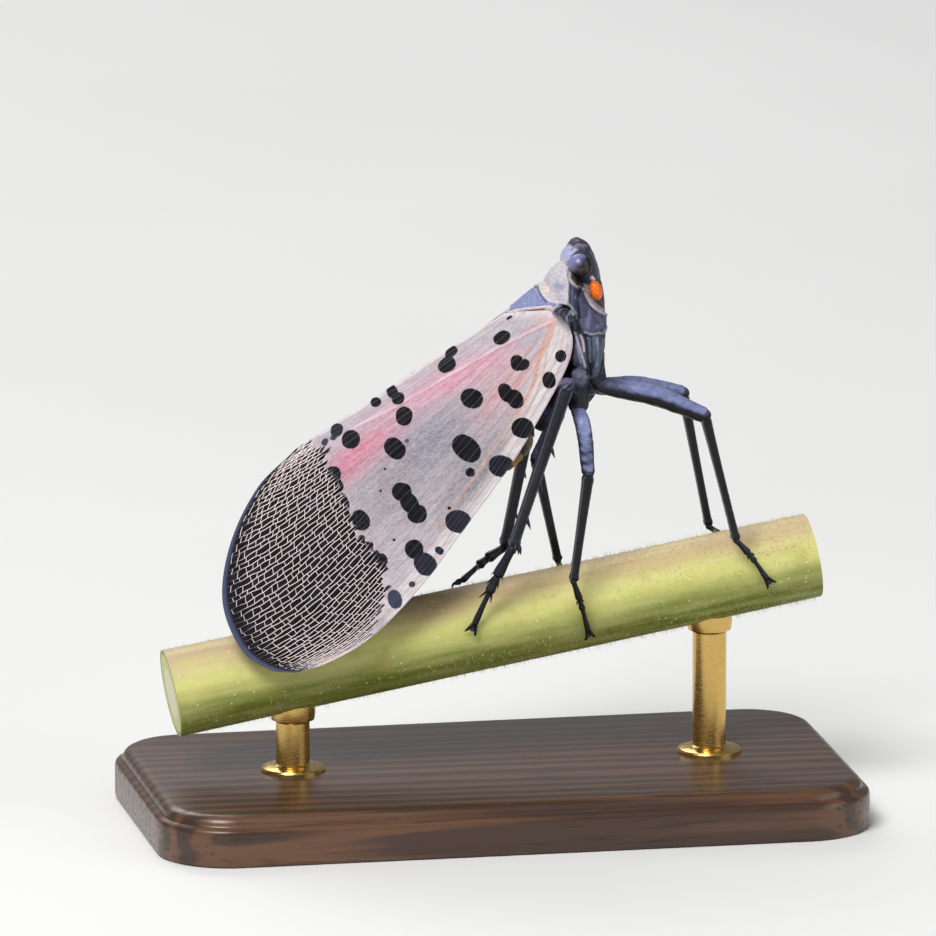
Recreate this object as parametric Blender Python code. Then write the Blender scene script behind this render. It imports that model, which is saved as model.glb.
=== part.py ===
"""A spotted lanternfly at rest on a cut length of stem, on a plain display stand.

Every size is in millimetres and becomes metres in the mesh. The insect is laid out in its own body frame:
f runs forward along the body, l to its left and d up out of its back. The frame starts between the wing
hinges and is pitched up by PITCH. In the world frame +X is the way the insect looks, +Y its left and +Z up.
The wings are laid out in roof coordinates: s runs back along the ridge between them, h down from it.
"""

import math

import bmesh
import bpy
import numpy as np
from mathutils import Matrix

MM = 0.001
SIDES = (("left", 1), ("right", -1))
GAP = 0.25  # between two nodes that meet
FINE_GAP = 0.15  # round eyes and antennae
PITCH = math.radians(42.0)
HINGE_X = 3.0  # place of the body frame over the stand
HINGE_Z = 24.2

# Perch and stand
PERCH_POINT = (-2.54, -15.10)  # a point of its axis, forward and up from the wing hinges
PERCH_SLOPE = math.radians(9.8)
PERCH_RADIUS = 2.03
PERCH_BACK = -16.0  # along the axis, from PERCH_POINT
PERCH_FRONT = 15.2
BASE_LENGTH = 34.0
BASE_WIDTH = 18.0
BASE_THICKNESS = 2.4
BASE_CORNER = 3.5
BASE_BEVEL = 0.5
ROD_RADIUS = 0.8
ROD_PLACES = {"stand_rod_rear": -10.1, "stand_rod_front": 10.2}  # along the perch

# Wings
RIDGE_SLOPES = {1: math.radians(35.6), -1: math.radians(31.6)}  # the left wing hangs a little lower
WING_LEANS = {1: 0.02, -1: 0.08}  # how much further each wing leans outwards at its rear
SCUTELLUM_TIP = (-1.71, 1.47)  # f and d, where the ridge between the wings starts
MIDLINE = 0.28  # half the space between the wings on the ridge
SHOULDER_DEPTH = 0.45  # how soon below the ridge the wing turns down
WING_THICKNESS = 0.5
VEIN_HEIGHT = 0.14

# Edges of the wings in roof coordinates: top, bottom, root and tip
FOREWING_EDGES = (
    [(0.15, 0.02), (3.0, 0.0), (6.0, 0.0), (9.0, 0.0), (11.9, 0.0)],
    [(-1.92, 1.55), (-1.74, 2.2), (-1.05, 2.95), (0.3, 3.76), (3.56, 5.41), (6.95, 6.74), (10.36, 8.0),
     (13.72, 8.77), (16.19, 8.64), (17.62, 8.25)],
    [(0.15, 0.02), (-0.8, 0.30), (-1.65, 0.74), (-1.92, 1.55)],
    [(11.9, 0.0), (14.44, 0.44), (16.86, 1.79), (18.66, 3.76), (19.16, 5.99), (18.55, 7.5), (17.62, 8.25)],
)
WING_SPACE_EDGES = (
    [(-0.2, -0.25), (2.0, -0.25), (4.0, -0.25), (6.0, -0.25)],
    [(-2.25, 1.9), (-2.05, 2.6), (-1.25, 3.4), (0.3, 4.2), (3.5, 5.7), (6.0, 6.5)],
    [(-0.2, -0.25), (-1.1, 0.08), (-2.0, 0.55), (-2.25, 1.9)],
    [(6.0, -0.25), (6.0, 3.0), (6.0, 6.5)],
)
HINDWING_EDGES = (
    [(1.6, 1.5), (3.5, 1.0), (6.5, 0.95), (9.5, 1.1), (12.0, 1.9)],
    [(1.6, 2.9), (3.5, 4.1), (6.0, 5.1), (9.0, 5.9), (12.0, 6.2)],
    [(1.6, 1.5), (1.4, 2.2), (1.6, 2.9)],
    [(12.0, 1.9), (14.2, 3.2), (14.4, 4.8), (12.0, 6.2)],
)
HINDWING_SPACE_EDGES = (
    [(1.1, 0.6), (3.5, 0.6), (6.0, 0.6)],
    [(1.1, 3.3), (3.5, 4.6), (6.0, 5.6)],
    [(1.1, 0.6), (1.0, 2.0), (1.1, 3.3)],
    [(6.0, 0.6), (6.0, 3.0), (6.0, 5.6)],
)
TENT_REACH = 1.6  # how far a space cut for a wing reaches outside it
FOREWING_VEINS = (0.09, 0.22, 0.36, 0.50, 0.64, 0.77, 0.89)
VEIN_HALF = 0.014
HINDWING_THICKNESS = 0.3
HINDWING_VEINS = (0.2, 0.4, 0.6, 0.8)

# Eyes and feelers: places as f, l and d
EYE_PLACE = (2.30, 1.42, 1.08)  # f, l and d
EYE_RADIUS = 0.50
PEDICEL_PLACE = (1.93, 1.86, -0.29)
PEDICEL_RADII = (0.30, 0.44, 0.47)  # across, outwards and along its length, which stands nearly upright
PEDICEL_TILT = math.radians(14.0)
TEGULA_PLACE = (-0.02, 2.9, 0.02)
TEGULA_RADII = (0.44, 0.25, 0.52)

# Legs by body frame points, l outwards. Toes are named by their place on the perch: along it and turned
# from its top.
FRONT_FEMUR = [(0.22, 1.36, -2.25), (-0.5, 1.48, -3.15), (-1.10, 1.55, -4.05), (-0.62, 1.72, -4.85),
               (0.5, 2.12, -6.2), (1.50, 2.44, -7.85)]
FRONT_KNEE = (1.66, 2.5, -8.2)
FRONT_ANKLE = {"right": (-1.27, 2.4, -13.79), "left": (-1.75, 2.4, -13.85)}
MIDDLE_FEMUR = {
    "right": [(-1.85, 1.4, -3.1), (-2.4, 1.8, -3.75), (-2.95, 2.6, -4.66), (-4.0, 2.95, -5.9)],
    "left": [(-1.85, 1.4, -3.1), (-2.4, 1.8, -3.75), (-3.5, 2.3, -4.75), (-5.2, 2.6, -5.5)],
}
MIDDLE_KNEE = {"right": (-4.2, 3.0, -6.25), "left": (-5.55, 2.62, -5.66)}
MIDDLE_ANKLE = {"right": (-8.16, 2.9, -9.62), "left": (-8.07, 2.7, -10.1)}
HIND_HIP = (-4.17, 1.27, -3.55)
HIND_HIP_RADII = (0.42, 0.38, 0.46)
HIND_FEMUR = [(-4.34, 1.42, -3.68), (-3.75, 1.68, -3.37), (-2.9, 1.97, -2.95), (-1.83, 2.22, -2.42)]
HIND_KNEE = (-2.08, 3.0, -2.38)
HIND_ANKLE = {"right": (-9.16, 3.0, -6.35), "left": (-9.48, 2.5, -7.73)}
TOES = {
    "front": {"right": (12.5, 92.0), "left": (12.1, 86.0)},
    "middle": {"right": (3.7, 110.0), "left": (3.6, 80.0)},
    "hind": {"right": (-1.6, 72.0), "left": (-1.33, 30.0)},
}
TOE_CLEAR = 0.38

# Materials: colour, roughness and metallic value
FINISHES = {
    "black_cuticle": ((0.022, 0.024, 0.034), 0.45, 0.0),
    "waxy_grey": ((0.17, 0.18, 0.25), 0.6, 0.0),
    "pale_pronotum": ((0.55, 0.48, 0.47), 0.55, 0.0),
    "forewing": ((0.58, 0.46, 0.45), 0.45, 0.0),
    "hindwing": ((0.55, 0.04, 0.03), 0.5, 0.0),
    "abdomen": ((0.55, 0.40, 0.08), 0.5, 0.0),
    "eye": ((0.03, 0.025, 0.04), 0.15, 0.0),
    "orange_pedicel": ((0.85, 0.22, 0.01), 0.35, 0.0),
    "green_stem": ((0.42, 0.46, 0.10), 0.55, 0.0),
    "stand_wood": ((0.05, 0.035, 0.03), 0.4, 0.0),
    "stand_brass": ((0.70, 0.52, 0.25), 0.3, 1.0),
}


def clear_scene():
    """Removes what the startup file holds."""
    for obj in list(bpy.data.objects):
        bpy.data.objects.remove(obj)


def finish(name):
    """The material of that name, made once."""
    material = bpy.data.materials.get(name)
    if material is None:
        colour, roughness, metallic = FINISHES[name]
        material = bpy.data.materials.new(name)
        material.use_nodes = True
        shader = material.node_tree.nodes["Principled BSDF"]
        shader.inputs["Base Color"].default_value = (*colour, 1.0)
        shader.inputs["Roughness"].default_value = roughness
        shader.inputs["Metallic"].default_value = metallic
    return material


def body(f, l, d):
    """World place, in millimetres, of a point of the body frame."""
    return np.array([
        HINGE_X + f * math.cos(PITCH) - d * math.sin(PITCH),
        l,
        HINGE_Z + f * math.sin(PITCH) + d * math.cos(PITCH),
    ])


def perch_axis(along):
    """World place of a point of the perch's axis."""
    return np.array([
        HINGE_X + PERCH_POINT[0] + along * math.cos(PERCH_SLOPE),
        0.0,
        HINGE_Z + PERCH_POINT[1] + along * math.sin(PERCH_SLOPE),
    ])


def perch_hold(along, turn, clear):
    """World place round the perch, turned from its top to the left and clear of its bark, and the way out."""
    angle = math.radians(turn)
    out = np.array([
        -math.sin(PERCH_SLOPE) * math.cos(angle),
        math.sin(angle),
        math.cos(PERCH_SLOPE) * math.cos(angle),
    ])
    return perch_axis(along) + out * (PERCH_RADIUS + clear), out


def new_object(name, points, faces, material, smooth_angle=35.0):
    """A mesh object from points in millimetres, with its normals made to point out."""
    mesh = bpy.data.meshes.new(name)
    mesh.from_pydata([tuple(float(c) * MM for c in p) for p in points], [], [tuple(f) for f in faces])
    work = bmesh.new()
    work.from_mesh(mesh)
    bmesh.ops.recalc_face_normals(work, faces=work.faces)
    work.to_mesh(mesh)
    work.free()
    mesh.shade_smooth()
    mesh.set_sharp_from_angle(angle=math.radians(smooth_angle))
    mesh.materials.append(finish(material))
    obj = bpy.data.objects.new(name, mesh)
    bpy.context.scene.collection.objects.link(obj)
    return obj


def rings_to_faces(count, sides):
    """Quads between consecutive rings, with a closing face at each end."""
    faces = [
        (i * sides + k, i * sides + (k + 1) % sides, (i + 1) * sides + (k + 1) % sides, (i + 1) * sides + k)
        for i in range(count - 1)
        for k in range(sides)
    ]
    faces.append(tuple(reversed(range(sides))))
    faces.append(tuple(range((count - 1) * sides, count * sides)))
    return faces


def smooth_curve(points):
    """A fine Catmull-Rom curve through the given points and its length at each of its own."""
    knots = np.array(points, float)
    padded = np.vstack([2 * knots[0] - knots[1], knots, 2 * knots[-1] - knots[-2]])
    fine = []
    for i in range(len(knots) - 1):
        p0, p1, p2, p3 = padded[i : i + 4]
        for t in np.linspace(0, 1, 12, endpoint=False):
            fine.append(0.5 * (2 * p1 + (p2 - p0) * t + (2 * p0 - 5 * p1 + 4 * p2 - p3) * t**2
                               + (3 * p1 - p0 - 3 * p2 + p3) * t**3))
    fine = np.array([*fine, knots[-1]])
    length = np.concatenate([[0], np.cumsum(np.linalg.norm(np.diff(fine, axis=0), axis=1))])
    return fine, length


def smooth_path(points, count):
    """Points spread evenly by length along the smooth curve through the given ones."""
    fine, length = smooth_curve(points)
    wanted = np.linspace(0, length[-1], count)
    return np.stack([np.interp(wanted, length, fine[:, k]) for k in range(fine.shape[1])], axis=1)


def tube(name, points, radii, material, sides=8, count=8, side_hint=(0.0, 1.0, 0.0), ends=(True, True)):
    """A closed limb: rings of the given radii along a smooth path. ends says which ends are rounded."""
    fine, length = smooth_curve(np.column_stack([np.array(points, float), np.array(radii, float)]))
    total = length[-1]
    first, last = radii[0] if ends[0] else 0.0, radii[-1] if ends[1] else 0.0
    inner = np.linspace(first, total - last, count)
    start = [] if not ends[0] else [0.0, first * 0.3]
    stop = [] if not ends[1] else [total - last * 0.3, total]
    wanted = np.array([*start, *inner, *stop])
    rows = np.stack([np.interp(wanted, length, fine[:, k]) for k in range(4)], axis=1)
    path, radius = rows[:, :3], rows[:, 3].copy()
    for on, reach, place in ((ends[0], first, wanted), (ends[1], last, total - wanted)):
        if on:
            near = np.clip(place / reach, 0.0, 1.0)
            radius *= np.sqrt(1 - (1 - near) ** 2 * 0.85)
    along = np.gradient(path, wanted, axis=0)
    along /= np.linalg.norm(along, axis=1)[:, None]
    across = np.array(side_hint) - along * (along @ np.array(side_hint))[:, None]
    across /= np.linalg.norm(across, axis=1)[:, None]
    up = np.cross(along, across)
    turn = np.arange(sides) * 2 * math.pi / sides + math.pi / sides
    ring = (
        path[:, None, :]
        + radius[:, None, None] * np.cos(turn)[None, :, None] * across[:, None, :]
        + radius[:, None, None] * np.sin(turn)[None, :, None] * up[:, None, :]
    )
    return new_object(name, ring.reshape(-1, 3), rings_to_faces(len(rows), sides), material, 50.0)


def spike(root, tip, radius, material, sides=5):
    """A closed thorn from its root to its tip."""
    return tube("spike", [root, (np.array(root) * 0.4 + np.array(tip) * 0.6), tip],
                [radius, radius * 0.6, radius * 0.2], material, sides, 3, ends=(False, False),
                side_hint=(0.31, 0.42, 0.85))


def loft(name, sections, material, sides=20, box=2.4, count=None):
    """A closed body lofted along f. A section is f, top, bottom, half width and level of the widest place."""
    rows = np.array(sections, float)
    rows = smooth_path(rows, count or len(rows))
    turn = np.arange(sides) * 2 * math.pi / sides + math.pi / sides
    cos, sin = np.cos(turn), np.sin(turn)
    points = []
    for f, top, bottom, half, level in rows:
        reach = np.where(sin > 0, top - level, level - bottom)
        wide = half * np.sign(cos) * np.abs(cos) ** (2 / box)
        high = level + reach * np.sign(sin) * np.abs(sin) ** (2 / box)
        points.extend(body(f, l, d) for l, d in zip(wide, high))
    return new_object(name, points, rings_to_faces(len(rows), sides), material)


def ball(name, centre, axes, radii, material, rings=8, sides=12):
    """An ellipsoid with its radii along three perpendicular world directions."""
    points = [centre + axes[2] * radii[2]]
    for i in range(1, rings):
        polar = math.pi * i / rings
        for k in range(sides):
            turn = 2 * math.pi * k / sides
            points.append(
                centre
                + axes[0] * radii[0] * math.sin(polar) * math.cos(turn)
                + axes[1] * radii[1] * math.sin(polar) * math.sin(turn)
                + axes[2] * radii[2] * math.cos(polar)
            )
    points.append(centre - axes[2] * radii[2])
    last = len(points) - 1
    faces = [(0, 1 + k, 1 + (k + 1) % sides) for k in range(sides)]
    for i in range(rings - 2):
        a, b = 1 + i * sides, 1 + (i + 1) * sides
        faces += [(a + k, b + k, b + (k + 1) % sides, a + (k + 1) % sides) for k in range(sides)]
    start = 1 + (rings - 2) * sides
    faces += [(start + k, last, start + (k + 1) % sides) for k in range(sides)]
    return new_object(name, points, faces, material)


def boolean(target, others, operation, solver="EXACT"):
    """Applies one Boolean of a collection of closed meshes to the target and removes them."""
    group = bpy.data.collections.new("pieces")
    bpy.context.scene.collection.children.link(group)
    for other in others:
        for holder in list(other.users_collection):
            holder.objects.unlink(other)
        group.objects.link(other)
    modifier = target.modifiers.new("join", "BOOLEAN")
    modifier.operation = operation
    modifier.operand_type = "COLLECTION"
    modifier.collection = group
    modifier.solver = solver
    bpy.context.view_layer.update()
    graph = bpy.context.evaluated_depsgraph_get()
    made = bpy.data.meshes.new_from_object(target.evaluated_get(graph))
    target.modifiers.remove(modifier)
    old = target.data
    target.data = made
    bpy.data.meshes.remove(old)
    for other in list(group.objects):
        bpy.data.objects.remove(other)
    bpy.data.collections.remove(group)
    keep_largest(target)
    return target


def keep_largest(obj):
    """Drops all but the largest connected surface of a mesh."""
    work = bmesh.new()
    work.from_mesh(obj.data)
    bmesh.ops.remove_doubles(work, verts=work.verts, dist=1e-7)
    shells, seen = [], set()
    for start in work.verts:
        if start in seen:
            continue
        shell, stack = [], [start]
        seen.add(start)
        while stack:
            vert = stack.pop()
            shell.append(vert)
            for edge in vert.link_edges:
                other = edge.other_vert(vert)
                if other not in seen:
                    seen.add(other)
                    stack.append(other)
        shells.append(shell)
    shells.sort(key=lambda s: sum(f.calc_area() for f in {f for v in s for f in v.link_faces}))
    for shell in shells[:-1]:
        bmesh.ops.delete(work, geom=shell, context="VERTS")
    work.to_mesh(obj.data)
    work.free()


def roof_half_width(s, h, side):
    """How far a wing's outer face stands off the midline, h below the ridge and s behind the scutellum."""
    back = np.clip(s / 14.0, 0.0, 1.0)
    shoulder = 1.9 - 1.35 * back  # the wing lies over the back near the ridge
    lean = 0.22 + WING_LEANS[side] * back  # and leans outwards below it
    below = shoulder * (1 - np.exp(-np.maximum(h, 0.0) / SHOULDER_DEPTH)) + lean * np.maximum(h, 0.0)
    above = (shoulder / SHOULDER_DEPTH + lean) * np.minimum(h, 0.0)
    return MIDLINE + below + above


def roof(s, h, side):
    """World place of a point of a wing's outer face. side is 1 on the insect's left and -1 on its right."""
    ridge = body(SCUTELLUM_TIP[0], 0.0, SCUTELLUM_TIP[1])
    slope = RIDGE_SLOPES[side]
    back = np.array([-math.cos(slope), 0.0, -math.sin(slope)])
    down = np.array([math.sin(slope), 0.0, -math.cos(slope)])
    out = np.array([0.0, 1.0, 0.0])
    s, h = np.asarray(s, float)[..., None], np.asarray(h, float)[..., None]
    return ridge + back * s + down * h + out * side * roof_half_width(s, h, side)


def coons(top, bottom, root, tip, u, v):
    """A patch between four edges: top and bottom run from root to tip, root and tip from top to bottom."""
    def along(edge, t):
        fine = smooth_path(edge, 60)
        steps = np.linspace(0, 1, 60)
        return np.stack([np.interp(t, steps, fine[:, k]) for k in range(2)], axis=-1)

    u, v = u[:, None, None], v[None, :, None]
    t, b = along(top, u[:, 0, 0])[:, None, :], along(bottom, u[:, 0, 0])[:, None, :]
    r, e = along(root, v[0, :, 0])[None, :, :], along(tip, v[0, :, 0])[None, :, :]
    corners = (
        (1 - u) * (1 - v) * np.array(top[0]) + (1 - u) * v * np.array(bottom[0])
        + u * (1 - v) * np.array(top[-1]) + u * v * np.array(bottom[-1])
    )
    return (1 - v) * t + v * b + (1 - u) * r + u * e - corners


def slab(name, levels, material, sides=24, box=2.6, count=None):
    """A closed body stacked along d. Each level is (d, front f, back f, half width)."""
    rows = np.array(levels, float)
    rows = smooth_path(rows, count or len(rows))
    turn = np.arange(sides) * 2 * math.pi / sides + math.pi / sides
    cos, sin = np.cos(turn), np.sin(turn)
    points = []
    for d, front, back, half in rows:
        long = (front + back) / 2 + (front - back) / 2 * np.sign(cos) * np.abs(cos) ** (2 / box)
        wide = half * np.sign(sin) * np.abs(sin) ** (2 / box)
        points.extend(body(f, l, d) for f, l in zip(long, wide))
    return new_object(name, points, rings_to_faces(len(rows), sides), material)


def vane(name, edges, side, inward, thickness, material, rows, columns, ribs=(), rib_height=0.0, least=-9.0):
    """A thin curved vane in the roof's shape, split into triangles alike on both faces.

    edges are the top, bottom, root and tip edges in roof coordinates. inward is how far its outer face lies
    inside the roof, rows are the steps across it and ribs the rows that stand up as veins. Its inner face
    keeps at least that far from the midline.
    """
    u = np.linspace(0, 1, columns)
    v = np.array(rows, float)
    place = coons(*edges, u, v)
    step = 1e-3
    here = roof(place[..., 0], place[..., 1], side)
    back = roof(place[..., 0] + step, place[..., 1], side) - here
    down = roof(place[..., 0], place[..., 1] + step, side) - here
    out = np.cross(down, back) * side
    out /= np.linalg.norm(out, axis=2)[..., None]
    raised = np.zeros(len(v))
    raised[list(ribs)] = rib_height
    fade = np.clip((1 - u) * 8, 0, 1)[:, None] * raised[None, :]  # the veins run out before the rim
    outer = here - out * (inward - fade)[..., None]
    inner = here - out * (inward + thickness)
    inner[..., 1] = np.maximum(inner[..., 1] * side, least) * side
    points = np.concatenate([outer.reshape(-1, 3), inner.reshape(-1, 3)])
    n, m = len(u), len(v)
    faces = []
    for i in range(n - 1):
        for j in range(m - 1):
            a, b, c, d = i * m + j, (i + 1) * m + j, (i + 1) * m + j + 1, i * m + j + 1
            for tri in ((a, b, c), (a, c, d)):
                faces.append(tri)
                faces.append(tuple(n * m + k for k in reversed(tri)))
    rim = [i * m for i in range(n)] + [(n - 1) * m + j for j in range(1, m)]
    rim += [i * m + m - 1 for i in range(n - 2, -1, -1)] + [j for j in range(m - 2, 0, -1)]
    for a, b in zip(rim, rim[1:] + rim[:1]):
        faces.append((b, a, n * m + a))
        faces.append((b, n * m + a, n * m + b))
    return new_object(name, points, faces, material, 30.0)


def head():
    """The head, deepest at the brow, its face sloping back to the mouth, with sockets for the eyes."""
    made = slab("head", [
        (1.60, 2.72, 2.25, 0.4), (1.48, 3.00, 2.02, 0.85), (1.05, 3.16, 1.94, 1.26), (0.4, 3.00, 1.76, 1.36),
        (-0.3, 2.74, 1.48, 1.22), (-1.0, 2.36, 1.08, 1.05), (-2.0, 1.64, 0.58, 0.8), (-2.7, 1.08, 0.18, 0.58),
        (-3.15, 0.66, -0.06, 0.36),
    ], "black_cuticle", count=14)
    sockets = [eye_ball("socket", side, EYE_RADIUS + FINE_GAP) for side in (1, -1)]
    return boolean(made, sockets, "DIFFERENCE")


def body_axes(side):
    """World directions of f, l and d on one side."""
    origin = body(0, 0, 0)
    return [body(1, 0, 0) - origin, (body(0, 1, 0) - origin) * side, body(0, 0, 1) - origin]


def eye_ball(name, side, radius):
    """The eye's ball, or its socket where it is larger."""
    f, l, d = EYE_PLACE
    return ball(name, body(f, l * side, d), body_axes(1), (radius, radius, radius), "eye", 9, 14)


def eyes():
    """The two round compound eyes."""
    for word, side in SIDES:
        eye_ball(f"eye_{word}", side, EYE_RADIUS)


def antennae():
    """Below each eye a fat bulb with a short bristle on its outer end."""
    for word, side in SIDES:
        f, l, d = PEDICEL_PLACE
        centre = body(f, l * side, d)
        lean, rise = math.cos(PEDICEL_TILT), math.sin(PEDICEL_TILT)
        axes = [np.array(axis) for axis in ((lean, 0.0, rise), (0.0, 1.0, 0.0), (-rise, 0.0, lean))]
        bulb = ball(f"antenna_{word}", centre, axes, PEDICEL_RADII, "orange_pedicel", 8, 12)
        tip = body(f - 0.25, (l + PEDICEL_RADII[1] + 0.9) * side, d - 0.45)
        boolean(bulb, [spike(centre, tip, 0.16, "orange_pedicel", 6)], "UNION")


def beak():
    """The sucking beak, from the mouth back between the front legs."""
    points = [body(0.12, 0, -3.42), body(-0.45, 0, -3.85), body(-1.4, 0, -4.3), body(-2.5, 0, -4.5)]
    tube("beak", points, [0.28, 0.27, 0.24, 0.18], "black_cuticle", 8, 6)


def pronotum():
    """The collar behind the head, with a lobe down each side."""
    slab("pronotum", [
        (1.42, 1.55, 0.62, 0.35), (1.25, 1.66, 0.50, 0.95), (0.9, 1.62, 0.46, 1.6), (0.45, 1.48, 0.44, 2.1),
        (-0.2, 1.24, 0.42, 2.24), (-0.9, 0.86, 0.38, 2.12), (-1.5, 0.66, 0.2, 1.9), (-1.8, 0.50, 0.16, 1.6),
    ], "pale_pronotum", count=12)


def thorax():
    """The middle and hind thorax with the scutellum, cut clear of the wings that fold over it."""
    made = loft("thorax", [
        (0.04, 1.15, -1.5, 1.4, 0.1), (-0.10, 1.38, -1.8, 1.85, 0.1), (-0.8, 1.52, -2.5, 2.05, -0.1),
        (-1.71, 1.50, -2.9, 2.05, -0.4), (-2.6, 1.0, -3.05, 2.0, -0.7), (-3.6, 0.7, -3.05, 1.9, -0.9),
        (-4.4, 0.3, -2.9, 1.7, -1.1), (-4.55, -0.1, -2.6, 1.4, -1.2),
    ], "waxy_grey", sides=28, box=2.1, count=16)
    under_forewing = WING_THICKNESS + GAP + VEIN_HEIGHT
    under_hindwing = under_forewing + HINDWING_THICKNESS + GAP
    tents = [
        vane("tent", edges, side, -TENT_REACH, TENT_REACH + depth, "waxy_grey", np.linspace(0, 1, 14), 16)
        for side in (1, -1)
        for edges, depth in ((WING_SPACE_EDGES, under_forewing), (HINDWING_SPACE_EDGES, under_hindwing))
    ]
    return boolean(made, tents, "DIFFERENCE")


def abdomen():
    """The abdomen hangs under the wings and tapers to its tip."""
    loft("abdomen", [
        (-4.82, -0.5, -3.3, 1.2, -1.9), (-5.2, -0.35, -4.15, 1.5, -2.4), (-6.4, -0.5, -4.3, 1.6, -2.7),
        (-8.0, -0.8, -4.1, 1.5, -2.75), (-9.6, -1.3, -3.8, 1.3, -2.75), (-11.0, -1.9, -3.4, 0.9, -2.75),
        (-11.9, -2.4, -3.0, 0.4, -2.7),
    ], "abdomen", sides=20, box=2.2, count=14)


def tegulae():
    """The scale that covers each wing's hinge."""
    for word, side in SIDES:
        f, l, d = TEGULA_PLACE
        ball(f"tegula_{word}", body(f, l * side, d), body_axes(1), TEGULA_RADII, "waxy_grey", 7, 12)


def vein_rows(veins, half):
    """Steps across a vane with a narrow rib at each vein, and which of them are the ribs' crests."""
    rows, crests = [0.0], []
    for vein in veins:
        rows += [vein - half, vein, vein + half]
        crests.append(len(rows) - 2)
    return [*rows, 1.0], crests


def wings():
    """Two long forewings in a roof over the body, and the folded hind wings beneath them."""
    for word, side in SIDES:
        rows, crests = vein_rows(FOREWING_VEINS, VEIN_HALF)
        vane(f"forewing_{word}", FOREWING_EDGES, side, 0.0, WING_THICKNESS, "forewing", rows, 26, crests,
             VEIN_HEIGHT, GAP / 2)
        rows, crests = vein_rows(HINDWING_VEINS, VEIN_HALF * 1.5)
        vane(f"hindwing_{word}", HINDWING_EDGES, side, WING_THICKNESS + GAP, HINDWING_THICKNESS, "hindwing",
             rows, 16, crests, 0.0)


def between(a, b, t):
    """A point part of the way from a to b."""
    return np.array(a) * (1 - t) + np.array(b) * t


def stretch(a, b, start, stop, count=3):
    """Points on the line from a to b, held back from its ends by start and stop millimetres."""
    long = float(np.linalg.norm(np.array(b) - np.array(a)))
    return [between(a, b, t) for t in np.linspace(start / long, 1 - stop / long, count)]


def tarsus(name, ankle, hold, radius):
    """A foot of three joints, the last with two claws spread along the bark. hold is its perch_hold."""
    toe, out = hold
    sag = np.array([0.0, 0.0, 0.25])
    arch = [between(ankle, toe, share) + sag * lift for share, lift in ((0.3, 0.3), (0.55, 0.5), (0.8, 0.3))]
    points = [stretch(ankle, toe, 0.15, 0.0)[0], *arch, toe]
    made = tube(name, points, [radius, radius * 1.15, radius * 0.9, radius * 1.05, radius * 0.85],
                "black_cuticle", 6, 6)
    down = (toe - ankle) / np.linalg.norm(toe - ankle)
    ahead = down - out * (down @ out)
    ahead /= np.linalg.norm(ahead)
    across = np.cross(ahead, out)
    claws = [
        spike(toe - down * 0.2, toe + ahead * 0.42 + across * spread - out * 0.06, radius * 0.6,
              "black_cuticle")
        for spread in (0.24, -0.24)
    ]
    return boolean(made, claws, "UNION")


def legs():
    """Six legs: each a thigh with its hip, a shin and a foot that holds the perch."""
    for word, side in SIDES:
        def place(point):
            return body(point[0], point[1] * side, point[2])

        def toe(pair):
            along, turn = TOES[pair][word]
            return perch_hold(along, turn * side, TOE_CLEAR)

        knee, ankle = place(FRONT_KNEE), place(FRONT_ANKLE[word])
        tube(f"front_femur_{word}", [place(p) for p in FRONT_FEMUR], [0.42, 0.45, 0.4, 0.42, 0.5, 0.36],
             "waxy_grey", 8, 12)
        tube(f"front_tibia_{word}", stretch(knee, ankle, 0.02, 0.1), [0.32, 0.3, 0.28], "black_cuticle", 8, 5)
        tarsus(f"front_tarsus_{word}", ankle, toe("front"), 0.2)

        knee, ankle = place(MIDDLE_KNEE[word]), place(MIDDLE_ANKLE[word])
        tube(f"middle_femur_{word}", [place(p) for p in MIDDLE_FEMUR[word]], [0.33, 0.34, 0.35, 0.32],
             "waxy_grey", 8, 9)
        tube(f"middle_tibia_{word}", stretch(knee, ankle, -0.12, 0.1), [0.27, 0.26, 0.25], "black_cuticle",
             8, 5)
        tarsus(f"middle_tarsus_{word}", ankle, toe("middle"), 0.19)

        knee, ankle = place(HIND_KNEE), place(HIND_ANKLE[word])
        thigh = tube(f"hind_femur_{word}", [place(p) for p in HIND_FEMUR], [0.36, 0.38, 0.42, 0.36],
                     "waxy_grey", 8, 7)
        boolean(thigh, [ball("hip", place(HIND_HIP), body_axes(1), HIND_HIP_RADII, "waxy_grey")], "UNION")
        hind_tibia(f"hind_tibia_{word}", knee, ankle, side)
        tarsus(f"hind_tarsus_{word}", ankle, toe("hind"), 0.22)


def hind_tibia(name, knee, ankle, side):
    """The long hind shin with thorns down its outer side and a crown of them round its end."""
    shin = tube(name, stretch(knee, ankle, 0.0, 0.1), [0.34, 0.38, 0.31], "black_cuticle", 8, 7)
    down = (ankle - knee) / np.linalg.norm(ankle - knee)
    out = np.array([0.0, float(side), 0.0])
    front = np.cross(down, out)
    front /= np.linalg.norm(front)
    front *= np.sign(front[0])
    thorns = []
    for share in (0.36, 0.58, 0.80):
        root = between(knee, ankle, share)
        thorns.append(spike(root + front * 0.1, root + (front * 0.65 + out * 0.35 + down * 0.55), 0.17,
                            "black_cuticle"))
    for k in range(5):
        turn = math.radians(-80 + 40 * k)
        aim = front * math.cos(turn) + out * math.sin(turn)
        root = between(knee, ankle, 0.965)
        thorns.append(spike(root + aim * 0.12, root + aim * 0.5 + down * 0.42, 0.13, "black_cuticle"))
    return boolean(shin, thorns, "UNION")


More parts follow.
